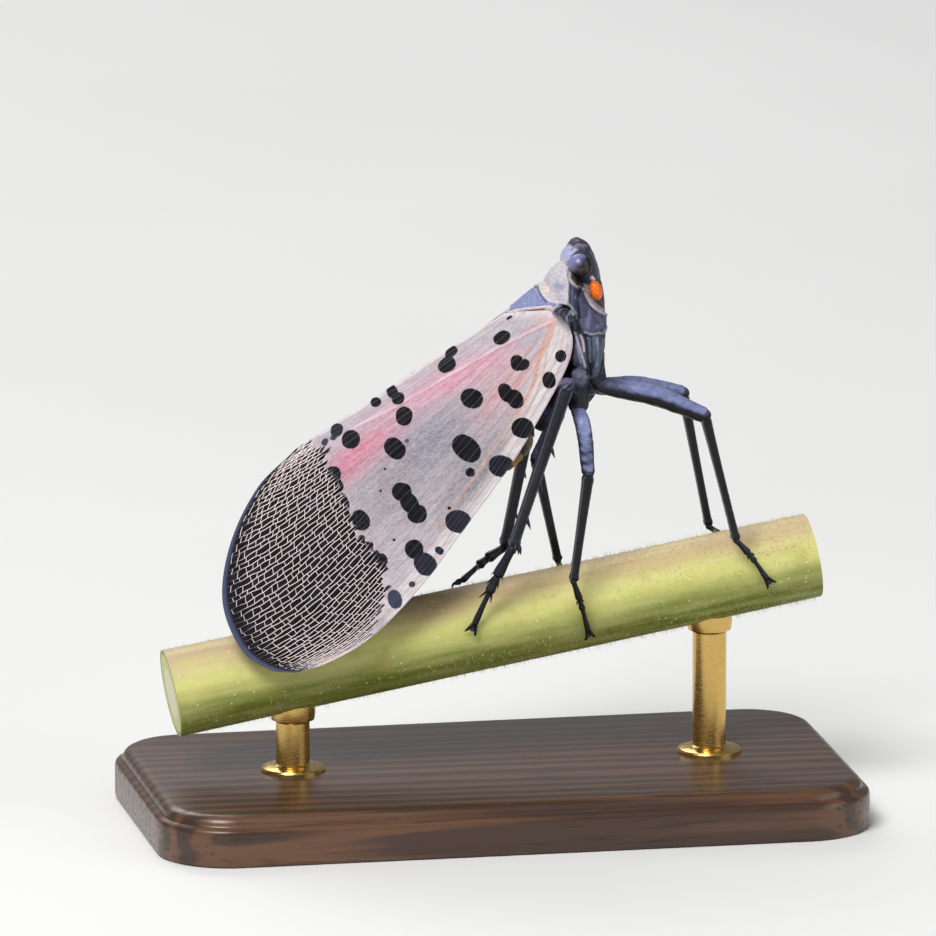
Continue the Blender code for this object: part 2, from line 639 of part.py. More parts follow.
def cylinder(name, start, stop, radius, material, sides=32):
    """A closed straight round bar."""
    direction = (stop - start) / np.linalg.norm(stop - start)
    across = np.cross(direction, (0.0, 1.0, 0.0))
    if np.linalg.norm(across) < 0.1:
        across = np.cross(direction, (1.0, 0.0, 0.0))
    across /= np.linalg.norm(across)
    other = np.cross(direction, across)
    turn = np.arange(sides) * 2 * math.pi / sides
    ring = radius * (np.cos(turn)[:, None] * across + np.sin(turn)[:, None] * other)
    return new_object(name, np.concatenate([start + ring, stop + ring]), rings_to_faces(2, sides), material)


def stand():
    """The cut stem, the base below it and the two rods between them."""
    cylinder("perch_stem", perch_axis(PERCH_BACK), perch_axis(PERCH_FRONT), PERCH_RADIUS, "green_stem", 32)
    work = bmesh.new()
    size = (BASE_LENGTH * MM, BASE_WIDTH * MM, BASE_THICKNESS * MM)
    place = Matrix.Translation((0, 0, size[2] / 2)) @ Matrix.Diagonal((*size, 1))
    bmesh.ops.create_cube(work, size=1.0, matrix=place)
    upright = [e for e in work.edges if abs(e.verts[0].co.z - e.verts[1].co.z) > size[2] / 2]
    bmesh.ops.bevel(work, geom=upright, offset=BASE_CORNER * MM, segments=6, affect="EDGES", profile=0.5)
    top = [e for e in work.edges if min(v.co.z for v in e.verts) > size[2] * 0.9]
    bmesh.ops.bevel(work, geom=top, offset=BASE_BEVEL * MM, segments=2, affect="EDGES", profile=0.5)
    mesh = bpy.data.meshes.new("stand_base")
    work.to_mesh(mesh)
    work.free()
    mesh.materials.append(finish("stand_wood"))
    base = bpy.data.objects.new("stand_base", mesh)
    bpy.context.scene.collection.objects.link(base)
    for name, along in ROD_PLACES.items():
        top = perch_axis(along)
        foot = np.array([top[0], 0.0, BASE_THICKNESS + GAP])
        rod = cylinder(name, foot, top, ROD_RADIUS, "stand_brass", 20)
        reach = 2 * ROD_RADIUS + 2.0
        bark = cylinder("bark", perch_axis(along - reach), perch_axis(along + reach), PERCH_RADIUS + GAP,
                        "stand_brass")
        boolean(rod, [bark], "DIFFERENCE")


def main():
    """Builds every piece."""
    clear_scene()
    head()
    eyes()
    antennae()
    beak()
    pronotum()
    thorax()
    abdomen()
    tegulae()
    wings()
    legs()
    stand()


main()
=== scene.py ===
"""Looks of a spotted lanternfly at rest on a cut stem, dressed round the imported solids.

Shapes are worked out in millimetres and become metres in the mesh. The insect is laid out in its body frame:
f runs forward along the body, l to its left and d up out of its back. The wings are laid out in roof
coordinates: s runs back along the ridge between them and h down from it. Markings are placed by the pixel of
the photograph, 936 on a side, in which the insect's near side shows them, and the far side mirrors them.
"""

import logging
import math
from collections.abc import Sequence
from dataclasses import dataclass, field, replace
from enum import Enum
from functools import reduce

import bpy
import numpy as np
from mathutils import Matrix, Vector


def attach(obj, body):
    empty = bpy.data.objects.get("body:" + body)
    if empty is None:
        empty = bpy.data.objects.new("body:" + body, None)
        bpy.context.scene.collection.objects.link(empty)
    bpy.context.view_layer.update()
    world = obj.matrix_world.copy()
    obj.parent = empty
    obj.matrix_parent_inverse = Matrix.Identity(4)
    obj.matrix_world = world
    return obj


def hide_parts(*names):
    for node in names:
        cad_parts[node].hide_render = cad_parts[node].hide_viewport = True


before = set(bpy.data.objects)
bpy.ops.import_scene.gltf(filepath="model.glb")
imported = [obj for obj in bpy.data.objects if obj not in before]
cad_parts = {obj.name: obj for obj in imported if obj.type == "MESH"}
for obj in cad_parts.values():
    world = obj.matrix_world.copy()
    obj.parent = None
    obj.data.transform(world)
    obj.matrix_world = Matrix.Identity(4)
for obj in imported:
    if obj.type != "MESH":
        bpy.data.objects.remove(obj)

Array = np.ndarray
Material = bpy.types.Material
Socket = bpy.types.NodeSocket
Pair = tuple[float, float]
Triple = tuple[float, float, float]
Rgb = tuple[int, int, int]

LOG = logging.getLogger("lanternfly")
MM = 0.001
BODY = "root"
LEFTWARD = np.array([0.0, 1.0, 0.0])


class Side(Enum):
    """The insect's own left and right."""

    LEFT = 1
    RIGHT = -1

    @property
    def word(self) -> str:
        """The side's name in small letters."""
        return self.name.lower()


def unit(vectors: Array) -> Array:
    """The vectors divided by their own length."""
    return vectors / np.maximum(np.linalg.norm(vectors, axis=-1, keepdims=True), 1e-12)


def ramp(values: Array, low: float, high: float) -> Array:
    """A smooth step: 0 at low, 1 at high and three t squared less two t cubed between."""
    t = np.clip((values - low) / (high - low), 0.0, 1.0)
    return t * t * (3 - 2 * t)


def bell(away: Array, width: float, power: int = 2) -> Array:
    """A bell curve: e to the minus of a distance over a width, raised to a power."""
    return np.exp(-((away / width) ** power))


def rgb(red: int, green: int, blue: int) -> Array:
    """A colour given as display values of 0 to 255, made linear."""
    shown = np.array([red, green, blue]) / 255
    return np.where(shown <= 0.04045, shown / 12.92, ((shown + 0.055) / 1.055) ** 2.4)


def laid(base: Array, share: Array, shown: Rgb) -> Array:
    """Colours at points with another laid over them, by its share at each."""
    return base * (1 - share[:, None]) + rgb(*shown) * share[:, None]


def cloud(points: Array, size: float, seed: int, waves: int = 9) -> Array:
    """Smooth noise of about -1 to 1.

    It is the mean of sine waves in random directions, each with a wavelength near size.

    Args:
        points: places to read it at.
        size: typical wavelength in the points' own unit.
        seed: seed of the directions and phases.
        waves: how many waves are added.

    Returns:
        One value for each point.
    """
    draw = np.random.default_rng(seed)
    ways = unit(draw.normal(size=(waves, points.shape[-1]))) * 2 * math.pi / size
    ways *= draw.uniform(0.6, 1.5, (waves, 1))
    phase = draw.uniform(0, 2 * math.pi, waves)
    return np.sin(points @ ways.T + phase).mean(-1) * 1.8


@dataclass(frozen=True)
class View:
    """A camera's view, with a long lens.

    Azimuth is the turn from square-on to the insect's right side, width what the picture takes in, and clip
    the nearest and farthest distance shown, in metres.
    """

    side: int = 936
    azimuth: float = math.radians(-15.0)
    elevation: float = math.radians(15.0)
    target: Triple = (-1.10, 0.0, 16.60)
    width: float = 43.94
    lens: float = 600.0
    sensor: float = 36.0
    clip: Pair = (0.01, 20.0)

    @property
    def distance(self) -> float:
        """How far the camera stands from its target."""
        return self.width * self.lens / self.sensor

    @property
    def pixel(self) -> float:
        """Width of a pixel at the target."""
        return self.width / self.side

    def axes(self) -> tuple[Array, Array, Array]:
        """Works out how the camera is turned.

        Returns:
            The view's right, up and back directions.
        """
        ca, sa = math.cos(self.azimuth), math.sin(self.azimuth)
        ce, se = math.cos(self.elevation), math.sin(self.elevation)
        return np.array([ca, sa, 0.0]), np.array([-sa * se, ca * se, ce]), np.array([sa * ce, -ca * ce, se])

    def pixels(self, points: Array) -> Array:
        """Where points show in the picture: their place across the view over their distance.

        Args:
            points: world places.

        Returns:
            Pixels across and down.
        """
        right, up, back = self.axes()
        place = points - np.array(self.target)
        scale = self.side / self.width / (1 - place @ back / self.distance)
        half = self.side / 2
        return np.stack([half + place @ right * scale, half - place @ up * scale], axis=-1)

    def camera(self) -> None:
        """Makes the camera and makes it the scene's own."""
        data = bpy.data.cameras.new("photo_camera")
        data.lens, data.sensor_width = self.lens, self.sensor
        data.clip_start, data.clip_end = self.clip
        camera = bpy.data.objects.new("photo_camera", data)
        right, up, back = self.axes()
        camera.location = (np.array(self.target) + back * self.distance) * MM
        turn = np.eye(4)
        turn[:3, :3] = np.stack([right, up, back], axis=1)
        camera.rotation_mode = "QUATERNION"
        camera.rotation_quaternion = Matrix(turn.tolist()).to_quaternion()
        bpy.context.scene.collection.objects.link(camera)
        bpy.context.scene.camera = camera


PHOTO = View()
CAMERA = View(azimuth=math.radians(-11.0), elevation=math.radians(12.5))


@dataclass(frozen=True)
class BodyFrame:
    """The insect's own frame: it starts between the wing hinges and is pitched up."""

    x: float = 3.0
    z: float = 24.2
    pitch: float = math.radians(42.0)

    def place(self, points: Array | Sequence, side: Side = Side.LEFT) -> Array:
        """World place of points in the body frame, turned by its pitch.

        Args:
            points: their f, l and d.
            side: right to mirror them.

        Returns:
            Their world places.
        """
        f, l, d = np.moveaxis(np.asarray(points, float), -1, 0)
        c, s = math.cos(self.pitch), math.sin(self.pitch)
        return np.stack([self.x + f * c - d * s, l * side.value, self.z + f * s + d * c], axis=-1)

    def read(self, points: Array) -> tuple[Array, Array, Array]:
        """The other way round: where world points lie in the body frame.

        Args:
            points: world places.

        Returns:
            Their f, l and d.
        """
        x, z = points[..., 0] - self.x, points[..., 2] - self.z
        c, s = math.cos(self.pitch), math.sin(self.pitch)
        return x * c + z * s, points[..., 1], z * c - x * s


INSECT = BodyFrame()


@dataclass
class Sheet:
    """Points, faces and values at the points, before they are a mesh."""

    points: Array
    quads: Array
    tris: Array = field(default_factory=lambda: np.zeros((0, 3), int))
    fields: dict[str, Array] = field(default_factory=dict)

    @staticmethod
    def joined(sheets: Sequence["Sheet"]) -> "Sheet":
        """Several sheets as one. A field that one of them lacks is zero there.

        Args:
            sheets: the sheets to join.

        Returns:
            One sheet with all their points, faces and fields.
        """
        starts = np.cumsum([0] + [len(s.points) for s in sheets[:-1]])
        names = {name: s.fields[name].shape[1:] for s in sheets for name in s.fields}
        fields = {
            name: np.concatenate([s.fields.get(name, np.zeros((len(s.points), *shape))) for s in sheets])
            for name, shape in names.items()
        }
        quads, tris = (np.concatenate([faces + k for faces, k in zip(kind, starts)])
                       for kind in ([s.quads for s in sheets], [s.tris for s in sheets]))
        return Sheet(np.concatenate([s.points for s in sheets]), quads, tris, fields)

    def raised(self, height: Array) -> "Sheet":
        """Moves the points outwards by a height at each, and returns the sheet itself."""
        self.points = self.points + normals(self) * height[:, None]
        return self

    def mesh(self, name: str, scale: float = MM) -> bpy.types.Mesh:
        """Puts the arrays into a mesh, the quads first.

        Args:
            name: the mesh's name.
            scale: size of the points' unit in the mesh's.

        Returns:
            The smooth shaded mesh.
        """
        made = bpy.data.meshes.new(name)
        made.vertices.add(len(self.points))
        made.vertices.foreach_set("co", (self.points * scale).astype(np.float32).ravel())
        corners = np.concatenate([self.quads.ravel(), self.tris.ravel()]).astype(np.int32)
        made.loops.add(len(corners))
        made.loops.foreach_set("vertex_index", corners)
        fours, threes = len(self.quads), len(self.tris)
        made.polygons.add(fours + threes)
        starts = np.concatenate([np.arange(fours) * 4, fours * 4 + np.arange(threes) * 3])
        made.polygons.foreach_set("loop_start", starts.astype(np.int32))
        for label, values in self.fields.items():
            colour = values.ndim == 2
            layer = made.attributes.new(label, "FLOAT_COLOR" if colour else "FLOAT", "POINT")
            if colour:
                values = np.column_stack([values, np.ones(len(values))])
            layer.data.foreach_set("color" if colour else "value", values.astype(np.float32).ravel())
        made.update(calc_edges=True)
        made.validate()
        made.shade_smooth()
        return made

    def piece(self, name: str, finish: Material, slot: str, nodes: Sequence[str] = (),
              crease: float | None = None) -> bpy.types.Object:
        """A piece of the model that rides on the body.

        Args:
            name: the piece's name.
            finish: its material.
            slot: the record's slot for its finish. It is not used.
            nodes: the solids that it stands for.
            crease: angle in degrees past which an edge stays sharp.

        Returns:
            The new object.
        """
        mesh = self.mesh(name)
        if crease is not None:
            mesh.set_sharp_from_angle(angle=math.radians(crease))
        mesh.materials.append(finish)
        made = bpy.data.objects.new(name, mesh)
        bpy.context.scene.collection.objects.link(made)
        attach(made, BODY)
        if nodes:
            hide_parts(*nodes)
        LOG.info("%s: %d points, %d faces", name, len(self.points), len(self.quads) + len(self.tris))
        return made


def grid_quads(rows: int, columns: int, round_columns: bool = False) -> Array:
    """Quads between neighbouring points of a grid stored row by row.

    Args:
        rows: how many rows it has.
        columns: points in a row.
        round_columns: whether the last column meets the first.

    Returns:
        Four point numbers for each quad.
    """
    i, j = np.meshgrid(np.arange(rows - 1), np.arange(columns - (not round_columns)), indexing="ij")
    k = (j + 1) % columns
    below = (i + 1) * columns
    return np.stack([i * columns + j, i * columns + k, below + k, below + j], -1).reshape(-1, 4)


def circle(sides: int) -> tuple[Array, Array, Array]:
    """Angles spread evenly round a turn from 0, with their cosines and sines."""
    turn = np.arange(sides) * 2 * math.pi / sides
    return turn, np.cos(turn), np.sin(turn)


def closed(rings: Array, first: Array, last: Array) -> Sheet:
    """A closed shape from rings of points and a pole beyond each end, turned to face outwards.

    Args:
        rings: points by ring and by place in the ring.
        first: the pole before the first ring.
        last: the pole after the last one.

    Returns:
        The shape, its poles the last two points.
    """
    n, sides = rings.shape[:2]
    k = np.arange(sides)
    ahead, base = (k + 1) % sides, (n - 1) * sides
    start = np.stack([ahead, k, np.full(sides, n * sides)], -1)
    stop = np.stack([base + k, base + ahead, np.full(sides, n * sides + 1)], -1)
    points = np.concatenate([rings.reshape(-1, 3), first[None], last[None]])
    made = Sheet(points, grid_quads(n, sides, True), np.concatenate([start, stop]))
    a, b, c, d = points[made.quads].transpose(1, 0, 2)
    if (np.cross(c - a, d - b) * (a - points.mean(0))).sum() < 0:
        made.quads, made.tris = made.quads[:, ::-1], made.tris[:, ::-1]
    return made


def shell(rings: Array) -> Sheet:
    """A closed shape from rings of points, with each pole at the middle of its end ring."""
    return closed(rings, rings[0].mean(0), rings[-1].mean(0))


def smooth_curve(points: Array, steps: int = 14) -> tuple[Array, Array]:
    """A Catmull-Rom curve through points: between two of them, a cubic whose slopes follow their neighbours.

    Args:
        points: places, or rows of any values, that the curve goes through.
        steps: fine points between each two of them.

    Returns:
        The fine points, and the curve's length up to each.
    """
    knots = np.asarray(points, float)
    padded = np.vstack([2 * knots[0] - knots[1], knots, 2 * knots[-1] - knots[-2]])
    p0, p1, p2, p3 = (padded[k : len(knots) - 1 + k, None, :] for k in range(4))
    t = np.linspace(0, 1, steps, endpoint=False)[None, :, None]
    fine = 0.5 * (2 * p1 + (p2 - p0) * t + (2 * p0 - 5 * p1 + 4 * p2 - p3) * t**2
                  + (3 * p1 - p0 - 3 * p2 + p3) * t**3)
    fine = np.vstack([fine.reshape(-1, knots.shape[1]), knots[-1]])
    return fine, np.concatenate([[0], np.cumsum(np.linalg.norm(np.diff(fine, axis=0), axis=1))])


def columns_at(places: Array, knots: Array, rows: Array) -> Array:
    """Rows of values read at places between knots, each column in a straight line from knot to knot."""
    return np.stack([np.interp(places, knots, column) for column in rows.T], -1)


def along_curve(points: Array, shares: Array) -> Array:
    """Points at shares of the length of the smooth curve through the given ones."""
    fine, length = smooth_curve(points)
    return columns_at(shares * length[-1], length, fine)


def sweep(path: Sequence, across: Sequence[float], deep: Sequence[float] | None = None,
          hint: Triple = (0.0, 1.0, 0.0), count: int = 40, sides: int = 20, square: float = 2.0,
          keels: Sequence[Triple] = ()) -> Sheet:
    """A closed limb: rings carried along a smooth path and closed by a pole at each end.

    A ring is a superellipse, |x| and |y| to the power square adding to one, times its two radii, and each
    keel adds a bell-shaped ridge. Towards an end the radii shrink as a circle's do.

    Args:
        path: points that the middle line goes through.
        across: radius along hint at each point.
        deep: radius square to it, or the same.
        hint: direction of the rings' first axis.
        count: how many rings.
        sides: points in a ring.
        square: 2 is round and more is boxier.
        keels: angle in degrees from hint, width in degrees and height as a share of the radius.

    Returns:
        The limb, with the angle round it in the field turn.
    """
    deep = across if deep is None else deep
    fine, length = smooth_curve(np.column_stack([np.asarray(path, float), across, deep]))
    total = length[-1]
    first, last = across[0] / total, across[-1] / total
    lead = first * (1 - np.cos(np.linspace(0, math.pi / 2, 7)[:-1]))
    trail = 1 - last * (1 - np.cos(np.linspace(math.pi / 2, 0, 7)[1:]))
    share = np.concatenate([lead, first + np.linspace(0, 1, count) * (1 - first - last), trail])
    rows = columns_at(share * total, length, fine)
    middle, radii = rows[:, :3], rows[:, 3:].copy()
    for width, place in ((first, share), (last, 1 - share)):
        radii *= np.sqrt(np.maximum(1 - (1 - np.clip(place / width, 0, 1)) ** 2, 1e-4))[:, None]
    heading = unit(np.gradient(middle, axis=0))
    first_axis = unit(np.array(hint) - heading * (heading @ np.array(hint))[:, None])
    second_axis = np.cross(heading, first_axis)
    turn, c, s = circle(sides)
    reach = (np.abs(c) ** square + np.abs(s) ** square) ** (-1 / square)
    for angle, width, height in keels:
        off = (turn - math.radians(angle) + math.pi) % (2 * math.pi) - math.pi
        reach = reach * (1 + height * bell(off, math.radians(width)))
    ring = (middle[:, None] + (radii[:, :1] * (c * reach))[..., None] * first_axis[:, None]
            + (radii[:, 1:] * (s * reach))[..., None] * second_axis[:, None])
    made = closed(ring, middle[0], middle[-1])
    made.fields = {"turn": np.concatenate([np.tile(turn, len(share)), [0, 0]])}
    return made


def needles(roots: Array, tips: Array, radius: float) -> Sheet:
    """Thin three-sided spikes, each a small triangle round its root with a point at its tip.

    Args:
        roots: where they start.
        tips: where they end.
        radius: size of the triangle.

    Returns:
        All the spikes as one sheet.
    """
    way = unit(tips - roots)
    side = unit(np.cross(way, np.array([0.31, 0.45, 0.84])))
    other = np.cross(way, side)
    _, c, s = circle(3)
    ring = roots[:, None] + radius * (c[:, None] * side[:, None] + s[:, None] * other[:, None])
    points = np.concatenate([ring, tips[:, None]], axis=1).reshape(-1, 3)
    start = np.arange(len(roots))[:, None, None] * 4
    faces = np.array([[0, 1, 3], [1, 2, 3], [2, 0, 3], [2, 1, 0]])[None]
    return Sheet(points, np.zeros((0, 4), int), (start + faces).reshape(-1, 3))


def ellipsoid(centre: Array, radii: Sequence[float], axes: Array = np.eye(3), rings: int = 40,
              sides: int = 60) -> Sheet:
    """A closed ball stretched along three directions: sines and cosines of its two angles times its radii.

    Args:
        centre: its middle.
        radii: its three radii.
        axes: their directions, as rows. Its poles lie on the third.
        rings: steps from pole to pole.
        sides: points in a ring.

    Returns:
        The ball.
    """
    polar = np.linspace(0, math.pi, rings + 1)[1:-1, None]
    turn, c, s = circle(sides)
    local = np.stack([np.sin(polar) * c, np.sin(polar) * s, np.cos(polar) + 0 * turn], -1)
    pole = centre + np.array([0, 0, radii[2]]) @ axes
    return closed(centre + (local * np.array(radii)) @ axes, pole, 2 * centre - pole)


def fused(sheets: Sequence[Sheet], cell: float, rounds: int = 2) -> Sheet:
    """One closed skin round several closed shapes, remeshed to even cells and smoothed a little.

    Args:
        sheets: the closed shapes, which may cross.
        cell: size of the even cells.
        rounds: rounds of smoothing.

    Returns:
        The skin.
    """
    mesh = Sheet.joined([Sheet(s.points, s.quads, s.tris) for s in sheets]).mesh("fusing", 1.0)
    holder = bpy.data.objects.new("fusing", mesh)
    bpy.context.scene.collection.objects.link(holder)
    remesh = holder.modifiers.new("fuse", "REMESH")
    remesh.mode, remesh.voxel_size = "VOXEL", cell
    smooth = holder.modifiers.new("soften", "SMOOTH")
    smooth.iterations, smooth.factor = rounds, 0.5
    graph = bpy.context.evaluated_depsgraph_get()
    made = bpy.data.meshes.new_from_object(holder.evaluated_get(graph))
    points = np.zeros(len(made.vertices) * 3, np.float32)
    sizes, corners = np.zeros(len(made.polygons), np.int32), np.zeros(len(made.loops), np.int32)
    made.vertices.foreach_get("co", points)
    made.polygons.foreach_get("loop_total", sizes)
    made.loops.foreach_get("vertex_index", corners)
    starts = np.concatenate([[0], np.cumsum(sizes)[:-1]])
    quads, tris = (corners[starts[sizes == count][:, None] + np.arange(count)] for count in (4, 3))
    bpy.data.objects.remove(holder)
    for used in (mesh, made):
        bpy.data.meshes.remove(used)
    return Sheet(points.reshape(-1, 3).astype(float), quads, tris)


def normals(sheet: Sheet) -> Array:
    """Outward directions at the points: the crossed diagonals of the faces round each, added up.

    Args:
        sheet: the sheet. A triangle's second diagonal is the side that ends in its first corner.

    Returns:
        A direction of length one for each point.
    """
    points = sheet.points
    total = np.zeros_like(points)
    for faces in (sheet.quads, sheet.tris):
        a, b, c, d = (points[faces[:, k % faces.shape[1]]] for k in range(4))
        crossed = np.cross(c - a, d - b)
        for corner in faces.T:
            for k in range(3):
                total[:, k] += np.bincount(corner, crossed[:, k], len(points))
    return unit(total)


def segment_distance(pixels: Array, a: Array, b: Array) -> Array:
    """Distance of pixels from the straight line between two places."""
    t = np.clip(((pixels - a) @ (b - a)) / max(float((b - a) @ (b - a)), 1e-9), 0, 1)
    return np.linalg.norm(pixels - a - t[:, None] * (b - a), axis=1)


def line_distance(pixels: Array, line: Sequence[Pair]) -> Array:
    """Distance from a line, which is a smooth curve where it has more than two places.

    Args:
        pixels: where to measure it.
        line: places that it goes through.

    Returns:
        The distance of each pixel.
    """
    knots = np.array(line, float)
    if len(line) > 2:
        knots = along_curve(knots, np.linspace(0, 1, 8 * len(line)))
    return reduce(np.minimum, (segment_distance(pixels, a, b) for a, b in zip(knots[:-1], knots[1:])))


def polygon_depth(pixels: Array, polygon: Sequence[Pair]) -> Array:
    """Distance from a polygon's edge. From inside, a level line crosses that edge an odd number of times.

    Args:
        pixels: where to measure it.
        polygon: its corners.

    Returns:
        The depth of each pixel, less than zero outside.
    """
    corners = np.array(polygon, float)
    ahead = np.roll(corners, -1, axis=0)
    nearest = reduce(np.minimum, (segment_distance(pixels, a, b) for a, b in zip(corners, ahead)))
    inside = np.zeros(len(pixels), bool)
    for a, b in zip(corners, ahead):
        if a[1] != b[1]:
            spans = (a[1] > pixels[:, 1]) != (b[1] > pixels[:, 1])
            inside ^= spans & (pixels[:, 0] < (b[0] - a[0]) * (pixels[:, 1] - a[1]) / (b[1] - a[1]) + a[0])
    return np.where(inside, nearest, -nearest)


class Graph:
    """A material whose nodes are added one at a time round its Principled shader."""

    def __init__(self, name: str, **sockets: float | Triple) -> None:
        """Starts the material.

        Args:
            name: the material's name.
            sockets: values of the shader's sockets, with _ for the spaces in their names.
        """
        self.material = bpy.data.materials.new(name)
        self.material.use_nodes = True
        self.tree = self.material.node_tree
        self.shader = self.tree.nodes["Principled BSDF"]
        for socket, value in sockets.items():
            self.shader.inputs[socket.replace("_", " ")].default_value = value

    def add(self, kind: str, links: dict[str | int, object] | None = None,
            **settings: object) -> bpy.types.Node:
        """Adds a node.

        Args:
            kind: its kind, without the first part that all kinds share.
            links: what is linked to its inputs, or their values.
            settings: its own settings.

        Returns:
            The node.
        """
        node = self.tree.nodes.new("ShaderNode" + kind)
        for name, value in settings.items():
            setattr(node, name, value)
        for socket, value in (links or {}).items():
            if isinstance(value, Socket):
                self.tree.links.new(value, node.inputs[socket])
            else:
                node.inputs[socket].default_value = value
        return node

    def attribute(self, name: str) -> Socket:
        """The value stored at the points under a name."""
        return self.add("Attribute", attribute_name=name).outputs["Fac"]

    def tint(self) -> Socket:
        """The colour stored at the points."""
        return self.add("Attribute", attribute_name="tint").outputs["Color"]

    def place(self, stretch: Triple = (1.0, 1.0, 1.0), turn: Triple = (0.0, 0.0, 0.0)) -> Socket:
        """Object coordinates, turned and then stretched."""
        turned = self.add("Mapping", {"Vector": self.add("TexCoord").outputs["Object"], "Rotation": turn})
        return self.add("Mapping", {"Vector": turned.outputs[0], "Scale": stretch}).outputs[0]

    def height(self, turn: float = 0.0) -> Socket:
        """Height in object coordinates turned about the insect's side to side axis."""
        return self.add("SeparateXYZ", {0: self.place(turn=(0.0, turn, 0.0))}).outputs[2]

    def noise(self, size: float, detail: float = 3.0, vector: Socket | None = None) -> Socket:
        """Noise with features of about size millimetres."""
        links = {"Scale": 1 / (size * MM), "Detail": detail, "Vector": vector or self.place()}
        return self.add("TexNoise", links).outputs["Fac"]

    def cells(self, size: float, vector: Socket | None = None, feature: str = "DISTANCE_TO_EDGE") -> Socket:
        """Distance in a pattern of cells of about size millimetres."""
        links = {"Scale": 1 / (size * MM), "Vector": vector or self.place()}
        return self.add("TexVoronoi", links, feature=feature).outputs["Distance"]

    def span(self, value: Socket, low: float, high: float, start: float = 0.0, stop: float = 1.0) -> Socket:
        """A value's range from low to high, mapped smoothly to start and stop."""
        links = {0: value, 1: low, 2: high, 3: start, 4: stop}
        return self.add("MapRange", links, interpolation_type="SMOOTHSTEP").outputs[0]

    def sum(self, a: Socket, b: Socket | float, operation: str = "ADD") -> Socket:
        """Two values added, or joined by another operation."""
        return self.add("Math", {0: a, 1: b}, operation=operation).outputs[0]

    def times(self, a: Socket, b: Socket | float) -> Socket:
        """Two values multiplied."""
        return self.sum(a, b, "MULTIPLY")

    def mix(self, share: Socket | float, a: Socket | Rgb, b: Socket | Rgb, blend: str = "MIX") -> Socket:
        """Two colours mixed by a share. A colour may be given as display values."""
        a, b = ((*rgb(*colour), 1.0) if isinstance(colour, tuple) else colour for colour in (a, b))
        return self.add("MixRGB", {0: share, 1: a, 2: b}, blend_type=blend).outputs[0]

    def dimmed(self, share: Socket, tint: Socket, by: Rgb) -> Socket:
        """A colour mixed by a share with its own product with another."""
        return self.mix(share, tint, self.mix(1.0, tint, by, "MULTIPLY"))

    def colour(self, value: Socket) -> None:
        """Links the base colour."""
        self.tree.links.new(value, self.shader.inputs["Base Color"])

    def roughness(self, value: Socket) -> None:
        """Links the roughness."""
        self.tree.links.new(value, self.shader.inputs["Roughness"])

    def bump(self, height: Socket, depth: float, strength: float = 1.0) -> None:
        """Links a bump on top of any that is there.

        Args:
            height: its height, from 0 to 1.
            depth: what 1 stands for, in millimetres.
            strength: how much of it shows.
        """
        links = {"Height": height, "Distance": depth * MM, "Strength": strength}
        socket = self.shader.inputs["Normal"]
        if socket.links:
            links["Normal"] = socket.links[0].from_socket
        self.tree.links.new(self.add("Bump", links).outputs[0], socket)


@dataclass(frozen=True)
class SkinFinish:
    """Insect skin: painted colour, mottled, under a fine grain and faint wrinkles."""

    name: str = "insect_skin"
    grain: float = 0.07
    wrinkle: float = 0.28
    depth: float = 0.07
    stretch: Triple = (1.0, 1.0, 1.8)
    shine: float = 0.40

    def material(self) -> Material:
        """Builds the material, which reads the fields tint, rough and bloom.

        Returns:
            The material.
        """
        g = Graph(self.name, Roughness=0.5, Specular_IOR_Level=self.shine)
        mottle = g.span(g.noise(0.16, 5.0), 0.36, 0.66)
        shaded = g.dimmed(g.times(mottle, 0.30), g.tint(), (120, 118, 130))
        # Pale waxy bloom, speckled; on the legs the bloom field also carries a painted highlight on their
        # upper faces.
        dust = g.span(g.noise(0.05, 3.0), 0.60, 0.74)
        bloom = g.times(g.times(dust, g.attribute("bloom")), 0.75)
        g.colour(g.mix(bloom, shaded, (176, 182, 222)))
        g.roughness(g.sum(g.attribute("rough"), g.span(mottle, 0, 1, -0.06, 0.10)))
        rows = g.place(turn=(0.0, INSECT.pitch, 0.0), stretch=self.stretch)
        g.bump(g.noise(self.wrinkle, 6.0, rows), self.depth, 0.6)
        g.bump(g.cells(self.grain), self.grain * 0.15, 0.5)
        return g.material


@dataclass(frozen=True)
class WingFinish:
    """A leathery wing: painted membrane, crisp dark markings and a faint network between the veins."""

    name: str
    dark: Rgb = (14, 10, 14)
    bloom: Rgb = (84, 90, 120)

    def material(self) -> Material:
        """Builds the material, which reads the fields tint, ink and haze and the map wing.

        Returns:
            The material.
        """
        g = Graph(self.name, Roughness=0.5, Specular_IOR_Level=0.14)
        wing = g.add("UVMap", uv_map="wing").outputs[0]
        long, short = (g.add("Mapping", {"Vector": wing, "Scale": (share, 1.0, 1.0)}).outputs[0]
                       for share in (0.25, 0.42))
        streaks = g.span(g.noise(0.20, 3.0, long), 0.36, 0.66)
        warm = g.dimmed(g.times(streaks, 0.30), g.tint(), (214, 168, 158))
        net = g.cells(0.15, short)
        pale = g.mix(g.span(net, 0.03, 0.14, 0.22, 0.0), warm, (226, 216, 218))
        speck = g.span(g.noise(0.045, 2.0), 0.35, 0.7, 0.88, 1.06)
        pale = g.mix(1.0, pale, g.add("CombineColor", {0: speck, 1: speck, 2: speck}).outputs[0], "MULTIPLY")
        ragged = g.span(g.noise(0.10, 2.0), 0.3, 0.7, -0.008, 0.008)
        ink = g.span(g.sum(g.attribute("ink"), ragged), -0.014, 0.014)
        bloom = g.sum(g.attribute("haze"), g.span(g.noise(0.30, 3.0), 0.35, 0.65, 0.0, 0.05))
        g.colour(g.mix(ink, pale, g.mix(bloom, self.dark, self.bloom)))
        g.roughness(g.span(ink, 0, 1, 0.52, 0.6))
        for relief, depth in ((streaks, 0.008), (net, 0.010)):
            g.bump(g.times(relief, g.span(ink, 0, 1, 1, 0.15)), depth, 0.5)
        return g.material


